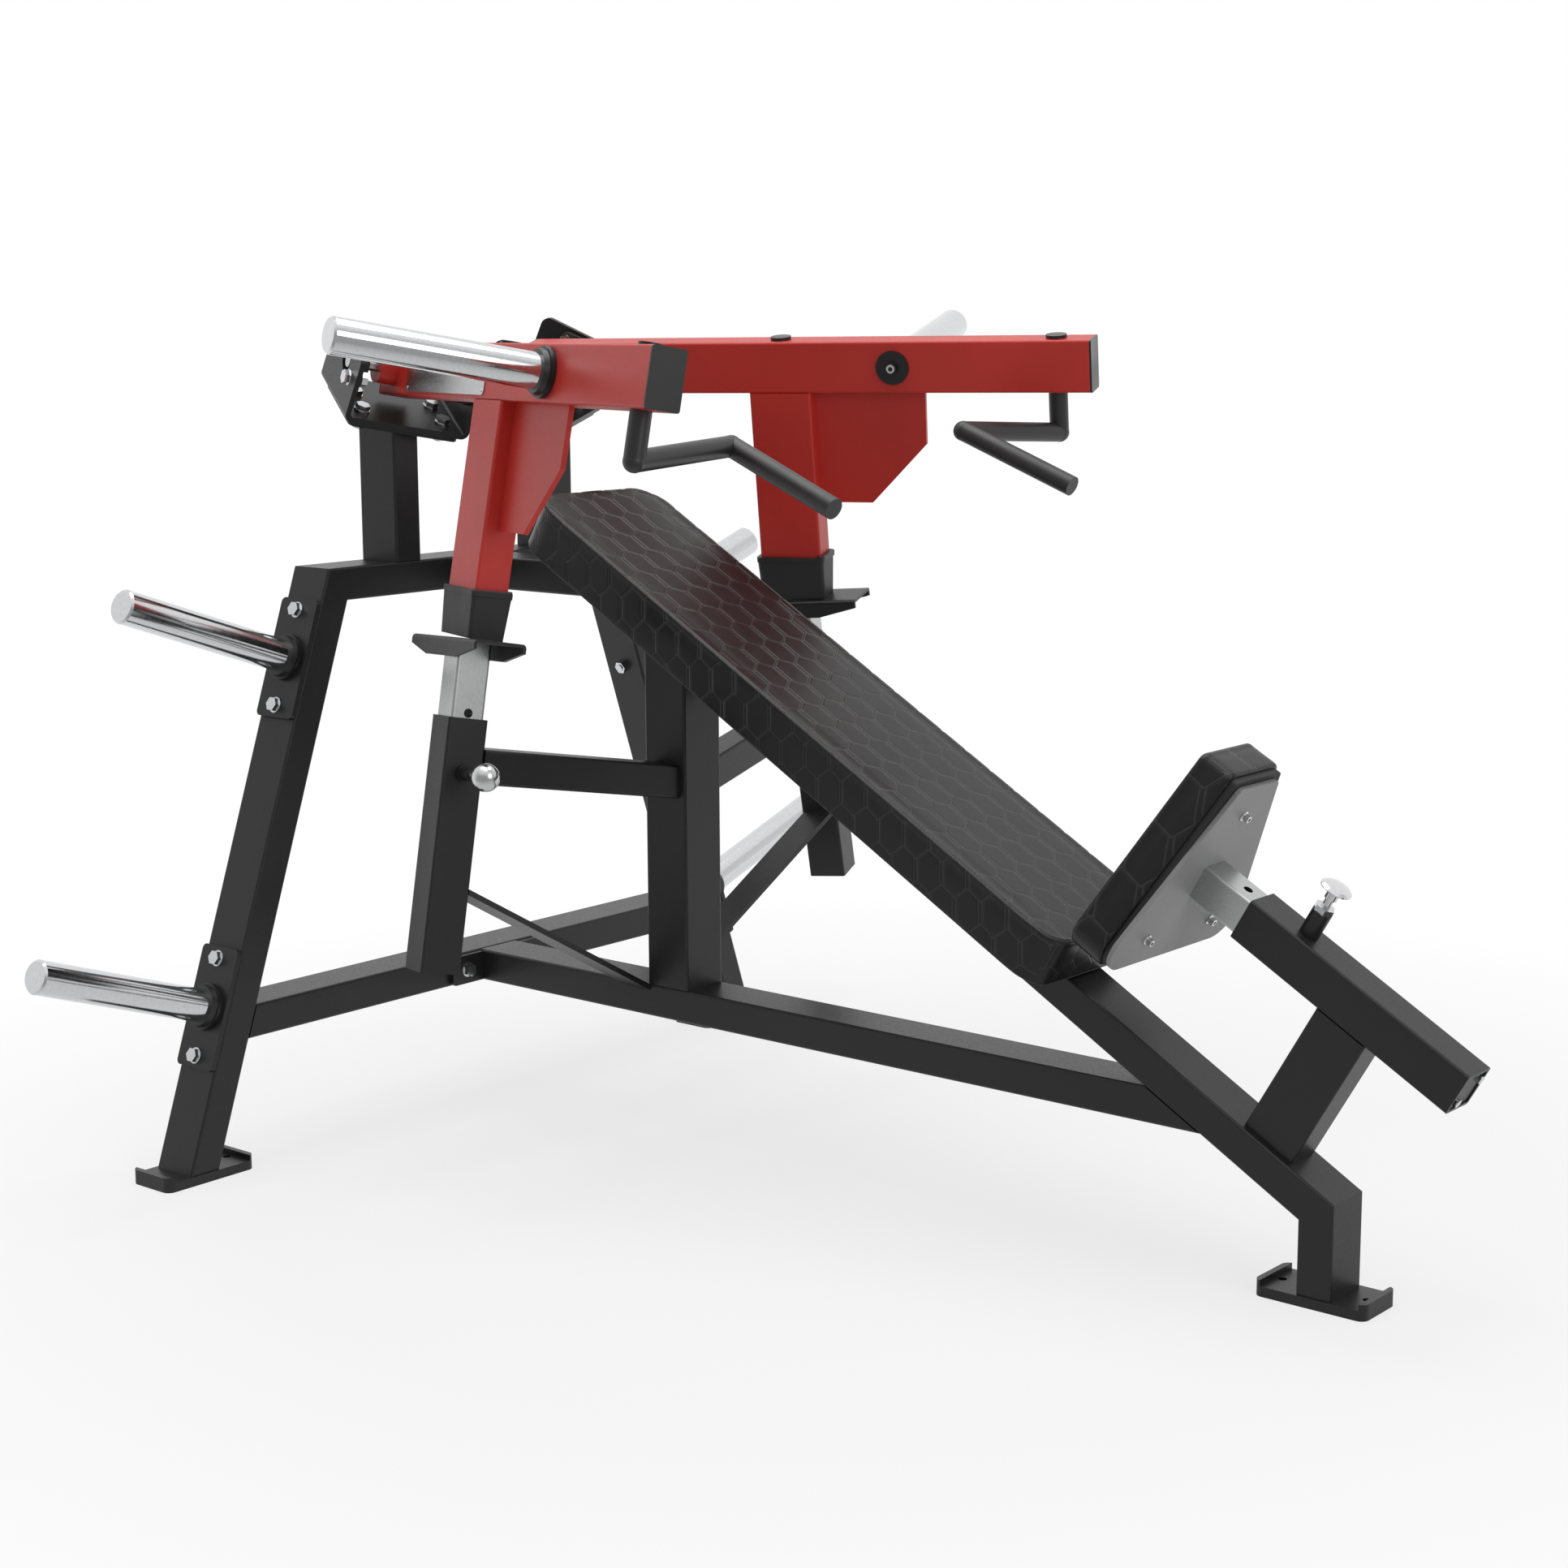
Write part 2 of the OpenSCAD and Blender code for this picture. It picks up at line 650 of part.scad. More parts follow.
// Weight horns.
// Each horn has a spigot at its root, and the plastic collar is pushed over that.
module horn(len) rotate([-90, 0, 0]) rotate_extrude($fn = 96) difference() {
  polygon([[0, 0], [spigot_r, 0], [spigot_r, collar_t], [horn_d / 2, collar_t],
    [horn_d / 2, len - horn_c], [horn_d / 2 - horn_c, len], [0, len]]);
  translate([-1, horn_wall]) square([horn_d / 2 - horn_wall + 1, len - 2 * horn_wall]);
}

module collar() rotate([-90, 0, 0]) rotate_extrude($fn = 96)
  polygon([[spigot_r + 0.05, 0], [collar_d / 2, 0], [collar_d / 2, collar_t * 0.5],
    [collar_d / 2 - 3, collar_t * 0.5], [collar_d / 2 - 5, collar_t],
    [spigot_r + 0.05, collar_t]]);

module each_storage(side) for (s = [store_s1, store_s2])
  leg_frame(side) translate([0, 0, -s]) children();

module storage_plates() color(black) for (side = [-1, 1]) each_storage(side) difference() {
  along_y(0, store_plate_t) rounded(tube_w, store_plate_len, 8);
  for (k = [-1, 1]) translate([0, 0, k * store_pitch / 2])
    rod_y(hole_d, -1, store_plate_t + 1);
}
module storage_horns() color(chrome) for (side = [-1, 1]) each_storage(side)
  translate([0, store_plate_t, 0]) horn(store_horn_len - store_plate_t);
module storage_collars() color(trim) for (side = [-1, 1]) each_storage(side)
  translate([0, store_plate_t, 0]) collar();

// Pivot brackets and their two-bolt flange bearings.
module bracket_outline() difference() {
  union() {
    translate([-br_w / 2, br_bend]) square([br_w, br_h + 20]);
    translate([-br_w / 2 + br_bend, 0]) square([br_w - 2 * br_bend, br_h]);
    for (k = [-1, 1]) translate([k * (br_w / 2 - br_bend), br_bend])
      circle(r = br_bend, $fn = fn_round);
  }
  translate([-br_w / 2 + br_t, br_bend]) square([br_w - 2 * br_t, br_h + 40]);
  translate([-br_w / 2 + br_bend, br_t]) square([br_w - 2 * br_bend, br_h]);
  for (k = [-1, 1]) translate([k * (br_w / 2 - br_bend), br_bend])
    circle(r = br_bend - br_t, $fn = fn_round);
}

module bearing_bolt_at() for (k = [0, 180])
  translate([br_ahead, 0, br_rise]) rotate([0, -bearing_turn + k, 0])
    translate([bearing_pitch, 0, 0]) children();

module pivot_brackets() color(black) for (side = [-1, 1]) bracket_frame(side) difference() {
  intersection() {
    along_x(-br_len / 2, br_len / 2) bracket_outline();
    along_y(-br_w / 2 - 1, br_w / 2 + 1) union() {
      translate([-br_len / 2, -1]) square([br_len, br_h - 14]);
      translate([-br_len / 2 + 15, -1]) square([br_len - 30, br_h + 1]);
      for (k = [-1, 1]) translate([k * (br_len / 2 - 15), br_h - 15])
        circle(r = 15, $fn = fn_round);
    }
  }
  translate([br_ahead, 0, br_rise]) rod_y(shaft_d + 14, -br_w, br_w);
  bearing_bolt_at() rod_y(hole_d, -br_w, br_w);
  for (p = base_bolts) translate([p.x, p.y, 0]) rod_z(hole_d, -1, br_t + 1);
}

// The flange is a round body with two ears; its flanks run just inside the common tangents.
module bearing_outline() {
  ear_r = 13;
  body_r = hub_d / 2 + 6;
  t = acos((body_r - ear_r) / bearing_pitch);
  circle(r = body_r, $fn = fn_round);
  for (k = [-1, 1]) translate([k * bearing_pitch, 0]) circle(r = ear_r, $fn = fn_round);
  p = (body_r - 0.3) * [cos(t), sin(t)];
  q = [bearing_pitch, 0] + (ear_r - 0.3) * [cos(t), sin(t)];
  polygon([[-q.x, q.y], [-p.x, p.y], p, q, [q.x, -q.y], [p.x, -p.y], [-p.x, -p.y],
    [-q.x, -q.y]]);
}

module bearing() difference() {
  union() {
    rotate([0, -bearing_turn, 0]) along_y(bearing_a - bearing_t, bearing_a) bearing_outline();
    rod_y(hub_d, bearing_a - bearing_t - hub_len, bearing_a - 1);
  }
  rod_y(shaft_d + 2 * pin_gap, 0, br_w);
  for (k = [0, 180]) rotate([0, -bearing_turn + k, 0]) translate([bearing_pitch, 0, 0])
    rod_y(hole_d, 0, br_w);
}

module pivot_bearings() color(trim) for (side = [-1, 1], k = [-1, 1])
  bracket_frame(side) translate([br_ahead, 0, br_rise])
    mirror([0, k < 0 ? 1 : 0, 0]) bearing();

// Fasteners.  A bolt stands on z = 0 with its shank along -z.
module bolt(grip) {
  cylinder(d = washer_d, h = washer_t, $fn = 64);
  cylinder(d = hex_d, h = washer_t + head_t, $fn = 6);
  translate([0, 0, -grip]) cylinder(d = bolt_d, h = grip + 1, $fn = 32);
}
module nut() difference() {
  cylinder(d = hex_d, h = nut_t, $fn = 6);
  translate([0, 0, -1]) cylinder(d = bolt_d + 0.1, h = nut_t + 2, $fn = 32);
}

module frame_bolts() color(steel) {
  for (side = [-1, 1]) {
    each_storage(side) for (k = [-1, 1])
      translate([0, store_plate_t, k * store_pitch / 2]) rotate([-90, 0, 0])
        bolt(store_plate_t + tube_d + nut_t + 2);
    bracket_frame(side) {
      for (p = base_bolts) translate([p.x, p.y, br_t]) bolt(2 * br_t + nut_t + 2);
      bearing_bolt_at() for (k = [-1, 1]) translate([0, k * br_w / 2, 0])
        rotate([-k * 90, 0, 0]) bolt(br_t + bearing_t + nut_t + 1);
    }
  }
  for (k = [-1, 1]) translate([tube_w / 2 + flange_t, k * flange_pitch / 2, flange_z])
    rotate([0, 90, 0]) bolt(flange_t + tube_wall + 6);
  incline_frame() for (p = sleeve_end_bolts)
    translate([sleeve_s1 - sleeve_end_in, p.x, sleeve_mid + p.y]) rod_x(bolt_d, 0, 5);
}

module frame_nuts() color(steel) for (side = [-1, 1]) {
  each_storage(side) for (k = [-1, 1])
    translate([0, -tube_d, k * store_pitch / 2]) rotate([90, 0, 0]) nut();
  bracket_frame(side) {
    for (p = base_bolts) translate([p.x, p.y, -br_t]) rotate([180, 0, 0]) nut();
    bearing_bolt_at() for (k = [-1, 1]) translate([0, k * (bearing_a - bearing_t), 0])
      rotate([k * 90, 0, 0]) nut();
  }
  if (side > 0) incline_frame() translate([seat_pin_s, 0, sleeve_h1 + seat_barrel_len])
    difference() {
      cylinder(d = lock_af / cos(30), h = lock_t, $fn = 6);
      rod_z(pin_d + 2 * pin_gap, -1, lock_t + 1);
    }
}

// Bench.
module bench_outline(inset) {
  r0 = bench_r_head - inset;
  r1 = bench_r_foot - inset;
  w = bench_w - 2 * inset;
  len = bench_len - 2 * inset;
  translate([inset, 0]) {
    translate([r0, -w / 2]) square([len - r0 - r1, w]);
    translate([0, -w / 2 + r0]) square([r0 + 1, w - 2 * r0]);
    translate([len - r1 - 1, -w / 2 + r1]) square([r1 + 1, w - 2 * r1]);
    for (k = [-1, 1]) {
      translate([r0, k * (w / 2 - r0)]) circle(r = r0, $fn = 96);
      translate([len - r1, k * (w / 2 - r1)]) circle(r = r1, $fn = 96);
    }
  }
}
module bench_board() color(trim) incline_frame() translate([bench_s0, 0, 0])
  along_z(incline_h, incline_h + bench_board_t) bench_outline(board_inset);
module bench_pad() color(cushion) incline_frame() translate([bench_s0, 0, 0])
  along_z(pad_h0, pad_h0 + bench_pad_t) bench_outline(0);

// Seat: a trapezoid with rounded corners, drawn in (y, h).
module seat_outline(lap) {
  lo_r = 37;
  hi_r = 10;
  hi = [seat_top_y - hi_r, seat_h1 - hi_r];
  lo = [seat_low_y - lo_r, seat_h0 + lo_r];
  d = lo - hi;
  a = atan2(d.y, d.x) + acos((hi_r - lo_r) / norm(d));
  n = [cos(a), sin(a)];
  for (k = [-1, 1]) {
    translate([k * hi.x, hi.y]) circle(r = hi_r + lap, $fn = 96);
    translate([k * lo.x, lo.y]) circle(r = lo_r + lap, $fn = 96);
  }
  flank = [hi + (hi_r + lap) * n, lo + (lo_r + lap) * n];
  polygon([[-hi.x, hi.y], [-flank[0].x, flank[0].y], [-flank[1].x, flank[1].y], [-lo.x, lo.y],
    [-lo.x, lo.y - lo_r - lap], [lo.x, lo.y - lo_r - lap], lo, flank[1], flank[0], hi,
    [hi.x, hi.y + hi_r + lap], [-hi.x, hi.y + hi_r + lap]]);
}

module seat_plate() color(steel) incline_frame() difference() {
  along_x(seat_s, seat_s + seat_plate_t) seat_outline(0);
  for (p = seat_bolts) translate([0, p.x, p.y])
    rod_x(hole_d, seat_s - 1, seat_s + seat_plate_t + 1);
}
module seat_pad() color(cushion) incline_frame()
  along_x(seat_s - 0.3 - seat_pad_t, seat_s - 0.3) seat_outline(seat_lap);
module seat_screws() color(steel) incline_frame() for (p = seat_bolts)
  translate([seat_s + seat_plate_t, p.x, p.y]) rotate([0, 90, 0]) bolt(seat_plate_t);
module seat_post() color(chrome) incline_frame() difference() {
  translate([0, 0, sleeve_mid])
    along_x(seat_s + seat_plate_t, seat_s + seat_plate_t + seat_post_len)
      ring(slide_w, slide_w, slide_wall, tube_r);
  for (k = [-2:2]) translate([seat_pin_s + k * seat_pitch, 0, 0])
    rod_z(pin_d + 1, sleeve_mid, sleeve_h1);
}

// Pull pins.
module pin_barrels() color(black) {
  for (side = [-1, 1]) stand_frame(side) translate([0, 0, -stop_pin_n])
    difference() {
      union() {
        rod_x(barrel_d, sleeve_face, sleeve_face + barrel_len);
        rod_x(barrel_foot_d, sleeve_face, sleeve_face + barrel_foot_t);
      }
      rod_x(pin_d + 2 * pin_gap, 0, sleeve_face + barrel_len + 1);
    }
  incline_frame() translate([seat_pin_s, 0, 0]) difference() {
    rod_z(seat_barrel_d, sleeve_h1, sleeve_h1 + seat_barrel_len);
    rod_z(pin_d + 2 * pin_gap, sleeve_h1 - 1, sleeve_h1 + seat_barrel_len + 1);
  }
}

module stop_pin(side) color(chrome) stand_frame(side) translate([0, 0, -stop_pin_n]) {
  rod_x(pin_d, post_face + 0.3, sleeve_face + ball_x);
  translate([sleeve_face + ball_x, 0, 0]) sphere(d = ball_d, $fn = 96);
}

// The seat pin has a shallow mushroom knob on a short neck.
module seat_pin() color(chrome) incline_frame() translate([seat_pin_s, 0, sleeve_h1]) {
  rod_z(pin_d, sleeve_mid - sleeve_h1 + post_face + 0.3, neck_h + 1);
  translate([0, 0, knob_h]) rotate_extrude($fn = 96)
    polygon([[0, -neck_len], [neck_d / 2, -neck_len], [neck_d / 2, 0],
      [knob_d / 2, knob_t * 0.3], [knob_d / 2, knob_t * 0.45], [knob_d * 0.4, knob_t * 0.75],
      [knob_d * 0.2, knob_t * 0.95], [0, knob_t]]);
}

// Lever arms.
module arm_tube(side) color(red) arm_frame(side) difference() {
  union() {
    along_x(-lever_back + cap_t, lever_front - cap_t)
      ring(lever_w, lever_h, tube_wall, tube_r);
    rod_y(pivot_tube_d, -pivot_tube_len / 2, pivot_tube_len / 2);
  }
  rod_y(shaft_d + 0.2, -pivot_tube_len, pivot_tube_len);
}

module pivot_shaft(side) color(steel) arm_frame(side) rod_y(shaft_d, -shaft_len / 2, shaft_len / 2);

module drop_leg(side) color(red) arm_frame(side) translate([drop_x, 0, 0])
  along_z(-drop_end, -lever_h / 2) ring(drop_len, lever_w, tube_wall, tube_r);

module gusset(side) color(red) arm_frame(side)
  translate([drop_x + drop_len / 2, 0, -lever_h / 2]) along_y(-gusset_t / 2, gusset_t / 2)
    polygon([[0, 0], [gusset_len, 0], [gusset_len - 2, -84], [85.5, -gusset_deep],
      [0, -gusset_deep]]);

module boot(side) color(trim) arm_frame(side) translate([drop_x, 0, 0]) difference() {
  union() {
    hull() {
      along_z(-boot_end, -boot_end + 1)
        rounded(drop_len + 2 * boot_foot, lever_w + 2 * boot_foot, 6, $fn = 32);
      along_z(-boot_end + boot_h - 9, -boot_end + boot_h - 8)
        rounded(drop_len + 2 * boot_rim, lever_w + 2 * boot_rim, 6, $fn = 32);
    }
    along_z(-boot_end + boot_h - 8, -boot_end + boot_h)
      rounded(drop_len + 2 * boot_rim + 2, lever_w + 2 * boot_rim + 2, 6, $fn = 32);
  }
  along_z(-drop_end, 0) rounded(drop_len, lever_w, tube_r);
}

module arm_caps(side) color(trim) arm_frame(side) {
  along_x(lever_front - cap_t, lever_front) rounded(lever_w, lever_h, tube_r);
  along_x(-lever_back, -lever_back + cap_t) rounded(lever_w, lever_h, tube_r);
  for (x = [grip_x, drop_x]) translate([x, 0, 0]) rod_z(32, lever_h / 2, lever_h / 2 + 5);
}

// A round bar along a path, with a ball at each turn.
module bent_bar(path, d) {
  for (i = [0:len(path) - 2]) {
    u = unit(path[i + 1] - path[i]);
    translate(path[i]) rotate([0, acos(u.z), atan2(u.y, u.x)])
      rod_z(d, 0, norm(path[i + 1] - path[i]));
  }
  for (i = [1:len(path) - 2]) translate(path[i]) sphere(d = d + 0.8, $fn = 96);
}

module handle(side) color(trim) arm_frame(side) difference() {
  bent_bar(handle_path, grip_d);
  bent_bar([handle_path[0], handle_path[1], handle_path[2],
    handle_path[3] - grip_wall * unit(handle_path[3] - handle_path[2])],
    grip_d - 2 * grip_wall);
}

module arm_horn(side) color(chrome) arm_frame(side)
  translate([arm_horn_x, lever_w / 2, 0]) horn(arm_horn_len);

module horn_rings(side) color(trim) arm_frame(side) translate([arm_horn_x, 0, 0]) {
  translate([0, lever_w / 2, 0]) collar();
  rod_y(52, -lever_w / 2 - 3, -lever_w / 2);
  rod_y(18, -lever_w / 2 - 11, -lever_w / 2 - 3);
}

module name_plate(side) color(steel) arm_frame(side)
  translate([name_x, 0, name_z]) along_y(lever_w / 2, lever_w / 2 + name_t)
    rounded(name_len, name_h, 8);

// Adjustable stops.
module stop_post(side) color(chrome) stand_frame(side) difference() {
  along_z(stop_top - stop_t - stop_post_len, stop_top - stop_t)
    ring(slide_w, slide_w, slide_wall, tube_r);
  for (k = [0:3]) translate([0, 0, -stop_pin_n + k * stop_pitch])
    rod_x(pin_d + 1, 0, sleeve_face);
}

module stop_outline() difference() {
  union() {
    translate([-stop_w / 2, -stop_deep - 5]) square([stop_w, stop_deep - 1]);
    translate([-stop_w / 2 + 6, -10]) square([stop_w - 12, 10]);
    for (k = [-1, 1]) translate([k * (stop_w / 2 - 6), -6]) circle(r = 6, $fn = fn_round);
  }
  translate([-stop_w / 2 + stop_t, -stop_deep - 10]) square([stop_w - 2 * stop_t, stop_deep + 10 - stop_t]);
}

module stop_plate(side) color(black) stand_frame(side) translate([0, 0, stop_top])
  intersection() {
    along_x(-stop_aft, stop_fore) stop_outline();
    along_y(-stop_w, stop_w)
      polygon([[-stop_aft, 1], [stop_fore, 1], [stop_fore, -stop_lip], [45, -stop_deep],
        [-55, -stop_deep], [-stop_aft, -stop_lip]]);
  }

place() {
  rear_leg(1);  // rear_leg_left
  rear_leg(-1);  // rear_leg_right
  top_crossbar();
  lower_crossbar();
  pivot_uprights();
  base_tube();
  center_post();
  top_rail();
  incline_tube();
  front_post();
  seat_strut();
  seat_sleeve();
  stop_sleeve(1);  // stop_sleeve_left
  stop_sleeve(-1);  // stop_sleeve_right
  stand_braces();
  stand_diagonals();
  foot_plates();
  storage_horns();
  storage_plates();
  storage_collars();
  pivot_brackets();
  pivot_bearings();
  frame_bolts();
  frame_nuts();
  bench_board();
  bench_pad();
  pin_barrels();
  arm_tube(1);  // arm_tube_left
  arm_tube(-1);  // arm_tube_right
  pivot_shaft(1);  // pivot_shaft_left
  pivot_shaft(-1);  // pivot_shaft_right
  drop_leg(1);  // drop_leg_left
  drop_leg(-1);  // drop_leg_right
  gusset(1);  // gusset_left
  gusset(-1);  // gusset_right
  boot(1);  // boot_left
  boot(-1);  // boot_right
  arm_caps(1);  // arm_caps_left
  arm_caps(-1);  // arm_caps_right
  handle(1);  // handle_left
  handle(-1);  // handle_right
  arm_horn(1);  // arm_horn_left
  arm_horn(-1);  // arm_horn_right
  horn_rings(1);  // horn_rings_left
  horn_rings(-1);  // horn_rings_right
  name_plate(1);  // name_plate_left
  name_plate(-1);  // name_plate_right
  stop_post(1);  // stop_post_left
  stop_post(-1);  // stop_post_right
  stop_plate(1);  // stop_plate_left
  stop_plate(-1);  // stop_plate_right
  stop_pin(1);  // stop_pin_left
  stop_pin(-1);  // stop_pin_right
  seat_post();
  seat_plate();
  seat_pad();
  seat_screws();
  seat_pin();
}
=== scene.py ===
"""Looks for a plate-loaded incline chest press: finishes, upholstery, fittings and a studio."""

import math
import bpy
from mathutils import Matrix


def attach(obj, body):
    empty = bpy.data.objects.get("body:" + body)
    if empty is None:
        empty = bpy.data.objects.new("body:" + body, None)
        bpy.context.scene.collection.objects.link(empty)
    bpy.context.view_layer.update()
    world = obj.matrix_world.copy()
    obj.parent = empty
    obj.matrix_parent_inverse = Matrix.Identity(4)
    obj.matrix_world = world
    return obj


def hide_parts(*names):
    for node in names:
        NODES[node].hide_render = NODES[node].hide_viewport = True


bl_info = {
    "name": "Incline chest press looks",
    "version": (1, 0, 0),
    "blender": (4, 5, 0),
    "location": "View3D > Sidebar > Press",
    "description": "Finishes, upholstery and studio for a plate-loaded incline chest press",
    "category": "Object",
}

import bmesh
import bpy
import numpy as np
from bpy.props import FloatProperty, FloatVectorProperty, PointerProperty
from mathutils import Matrix, Vector

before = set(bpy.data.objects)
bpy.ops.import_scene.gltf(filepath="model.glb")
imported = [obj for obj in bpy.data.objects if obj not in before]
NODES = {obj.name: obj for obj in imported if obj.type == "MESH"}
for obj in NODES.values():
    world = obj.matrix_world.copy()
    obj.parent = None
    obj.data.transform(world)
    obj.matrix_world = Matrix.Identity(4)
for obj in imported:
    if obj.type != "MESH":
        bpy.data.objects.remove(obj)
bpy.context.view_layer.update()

# The bench's own axes: down its slope, across it and out of its face.
SLOPE = math.radians(30.0)
ALONG = np.array([math.cos(SLOPE), 0.0, -math.sin(SLOPE)])
ACROSS = np.array([0.0, 1.0, 0.0])
OUT = np.array([math.sin(SLOPE), 0.0, math.cos(SLOPE)])
PAD_AXES = (ALONG, ACROSS, OUT)
SEAT_AXES = (ACROSS, OUT, -ALONG)
# Each side's name and the sign of Y on it.
MIRRORED = (("left", 1.0), ("right", -1.0))

# Cloth: the pressure in a pad, and how many frames it works for.
PRESSURE, FRAMES = 4.0, 20

# The camera: place in metres, degrees round, down and rolled, and its lens on a 36 mm sensor.
CAMERA_AT = (2.35546, -3.04368, 1.27)
CAMERA_TURN = (39.86, 9.92, -0.276)
CAMERA_LENS, CAMERA_SENSOR = 63.372671, 36.0
# The level direction in which the backdrop stands.
BEHIND = (-0.63, 0.76, 0.0)
WHITE = (1.0, 1.0, 1.0, 1.0)

# A hair between a screw's washer and the face under it, in metres.
CLEAR = 0.0001
# A rivet's dome as rings: shares of its radius and of its height.
DOME = ((1.0, 0.0), (21 / 22, 6 / 13), (14 / 22, 11 / 13), (5 / 22, 1.0))


# --- Settings that a user would change -------------------------------------------------------

def tint(name, description, default):
    """A colour property in linear values."""
    return FloatVectorProperty(name=name, description=description, subtype="COLOR", size=3,
                               min=0.0, max=1.0, default=default)


def length(name, description, default):
    """A length property in metres."""
    return FloatProperty(name=name, description=description, default=default, min=0.0,
                         unit="LENGTH", subtype="DISTANCE", precision=4)


def share(name, description, default):
    """A plain number from 0 to 1."""
    return FloatProperty(name=name, description=description, default=default, min=0.0, max=1.0)


class PressFinishes(bpy.types.PropertyGroup):
    """Colours and gloss of the machine's surfaces."""
    frame_tint: tint("Frame", "Powder coat of the frame", (0.014, 0.014, 0.014))
    arm_tint: tint("Arms", "Powder coat of the lever arms", (0.56, 0.033, 0.024))
    plastic_tint: tint("Plastic", "Caps, collars and plugs", (0.010, 0.010, 0.011))
    rubber_tint: tint("Rubber", "Boots under the drop legs", (0.013, 0.013, 0.014))
    grip_tint: tint("Grips", "Coating of the handles", (0.020, 0.020, 0.021))
    cover_tint: tint("Upholstery", "Leatherette of the pads", (0.011, 0.0105, 0.0105))
    # Painted highlight: a lighter leatherette colour on the embossed lines and the rolled seams,
    # standing in for light caught on their ridges.
    painted_highlight_tint: tint("Embossed lines", "Leatherette on the embossed lines", (0.030, 0.029, 0.029))
    plate_tint: tint("Seat plate", "Painted plate under the seat", (0.25, 0.25, 0.252))
    bearing_tint: tint("Bearings", "Coated castings of the pivot bearings", (0.018, 0.018, 0.019))
    board_tint: tint("Bench board", "Film on the underside of the bench", (0.012, 0.012, 0.012))
    zinc_tint: tint("Fasteners", "Zinc plate on bolts and nuts", (0.62, 0.63, 0.64))
    chrome_tint: tint("Horns", "Chrome plate of the weight horns", (0.66, 0.67, 0.68))
    stop_tint: tint("Stop posts", "Drawn steel of the stop posts and shafts", (0.50, 0.51, 0.51))
    post_tint: tint("Seat post", "Drawn steel of the seat post", (0.52, 0.53, 0.53))
    ball_tint: tint("Ball knobs", "Satin steel of the stop pins", (0.60, 0.61, 0.61))
    knob_tint: tint("Seat knob", "Chrome plate of the seat pin", (0.70, 0.70, 0.71))
    name_tint: tint("Name plates", "Bare metal of the name plates", (0.50, 0.50, 0.51))
    screw_tint: tint("Small screws", "Bright steel of screws and rivets", (0.66, 0.66, 0.67))
    paint_rough: share("Paint roughness", "Roughness of the powder coat", 0.37)
    chrome_rough: share("Chrome roughness", "Roughness of the weight horns", 0.13)


class PressPads(bpy.types.PropertyGroup):
    """Sizes of the upholstered pads."""
    head_round: length("Head corners", "Corner radius at the bench's head", 0.050)
    foot_round: length("Foot corners", "Corner radius at the bench's foot", 0.040)
    seat_low_round: length("Seat low corners", "Corner radius at the seat's wide end", 0.034)
    seat_top_round: length("Seat top corners", "Corner radius at the seat's narrow end", 0.014)
    seat_flare: length("Seat flare", "How far the wide end's flanks run on outwards", 0.006)
    edge: length("Edge radius", "Rounding of the bench pad's edges", 0.0040)
    seat_edge: length("Seat edge radius", "Rounding of the seat pad's edges", 0.0085)
    firm: length("Firm edge", "How far from an edge the cover keeps its sewn shape", 0.024)
    tuck: length("Tuck", "How far a pad starts inside its space", 0.0010)
    swell: length("Swell", "How far the stuffing may push the cover out", 0.0011)
    voxel: length("Mesh size", "Size of the cover's facets before smoothing", 0.0042)
    cell_long: length("Cell length", "Spacing of the embossed cells along their length", 0.0973)
    cell_wide: length("Cell width", "Spacing of the embossed cells across", 0.0460)
    groove: length("Line spacing", "Gap between two neighbouring cells' long lines", 0.0066)
    cell_from_foot: length("Cell from foot", "Middle of one cell from the bench's foot", 0.4170)
    cell_from_edge: length("Cell from edge", "Middle of that cell from the bench's near edge", 0.0552)
    flank_x: length("Flank cell, across", "Middle of one cell on the pads' flanks, along X", 0.1737)
    flank_z: length("Flank cell, up", "Middle of that cell above the floor", 0.5136)
    flank_size: share("Flank cell size", "Size of the bench flanks' cells beside its face's", 0.935)
    seat_size: FloatProperty(name="Seat cell size", description="Size of the seat flanks' cells",
                             default=1.3, min=0.2)
    wrap: length("Wrap", "Underside of the bench's cover above its board's", 0.0015)
    board: length("Seat board", "Thickness of the board between seat pad and plate", 0.0090)
    board_in: length("Board inset", "Seat board inside the edge of its pad", 0.0060)
    overhang: length("Overhang", "How far the seat's cover swells past its top end", 0.0080)
    welt: length("Welt", "Radius of the rolled seam round the face", 0.0016)
    welt_pitch: length("Welt pitch", "Spacing of the points along a seam", 0.0040)
    nick_pitch: length("Nick pitch", "Spacing of the nicks in the rolled seam", 0.0494)
    nick: share("Nick", "How deep the nicks in the rolled seam are", 0.5)


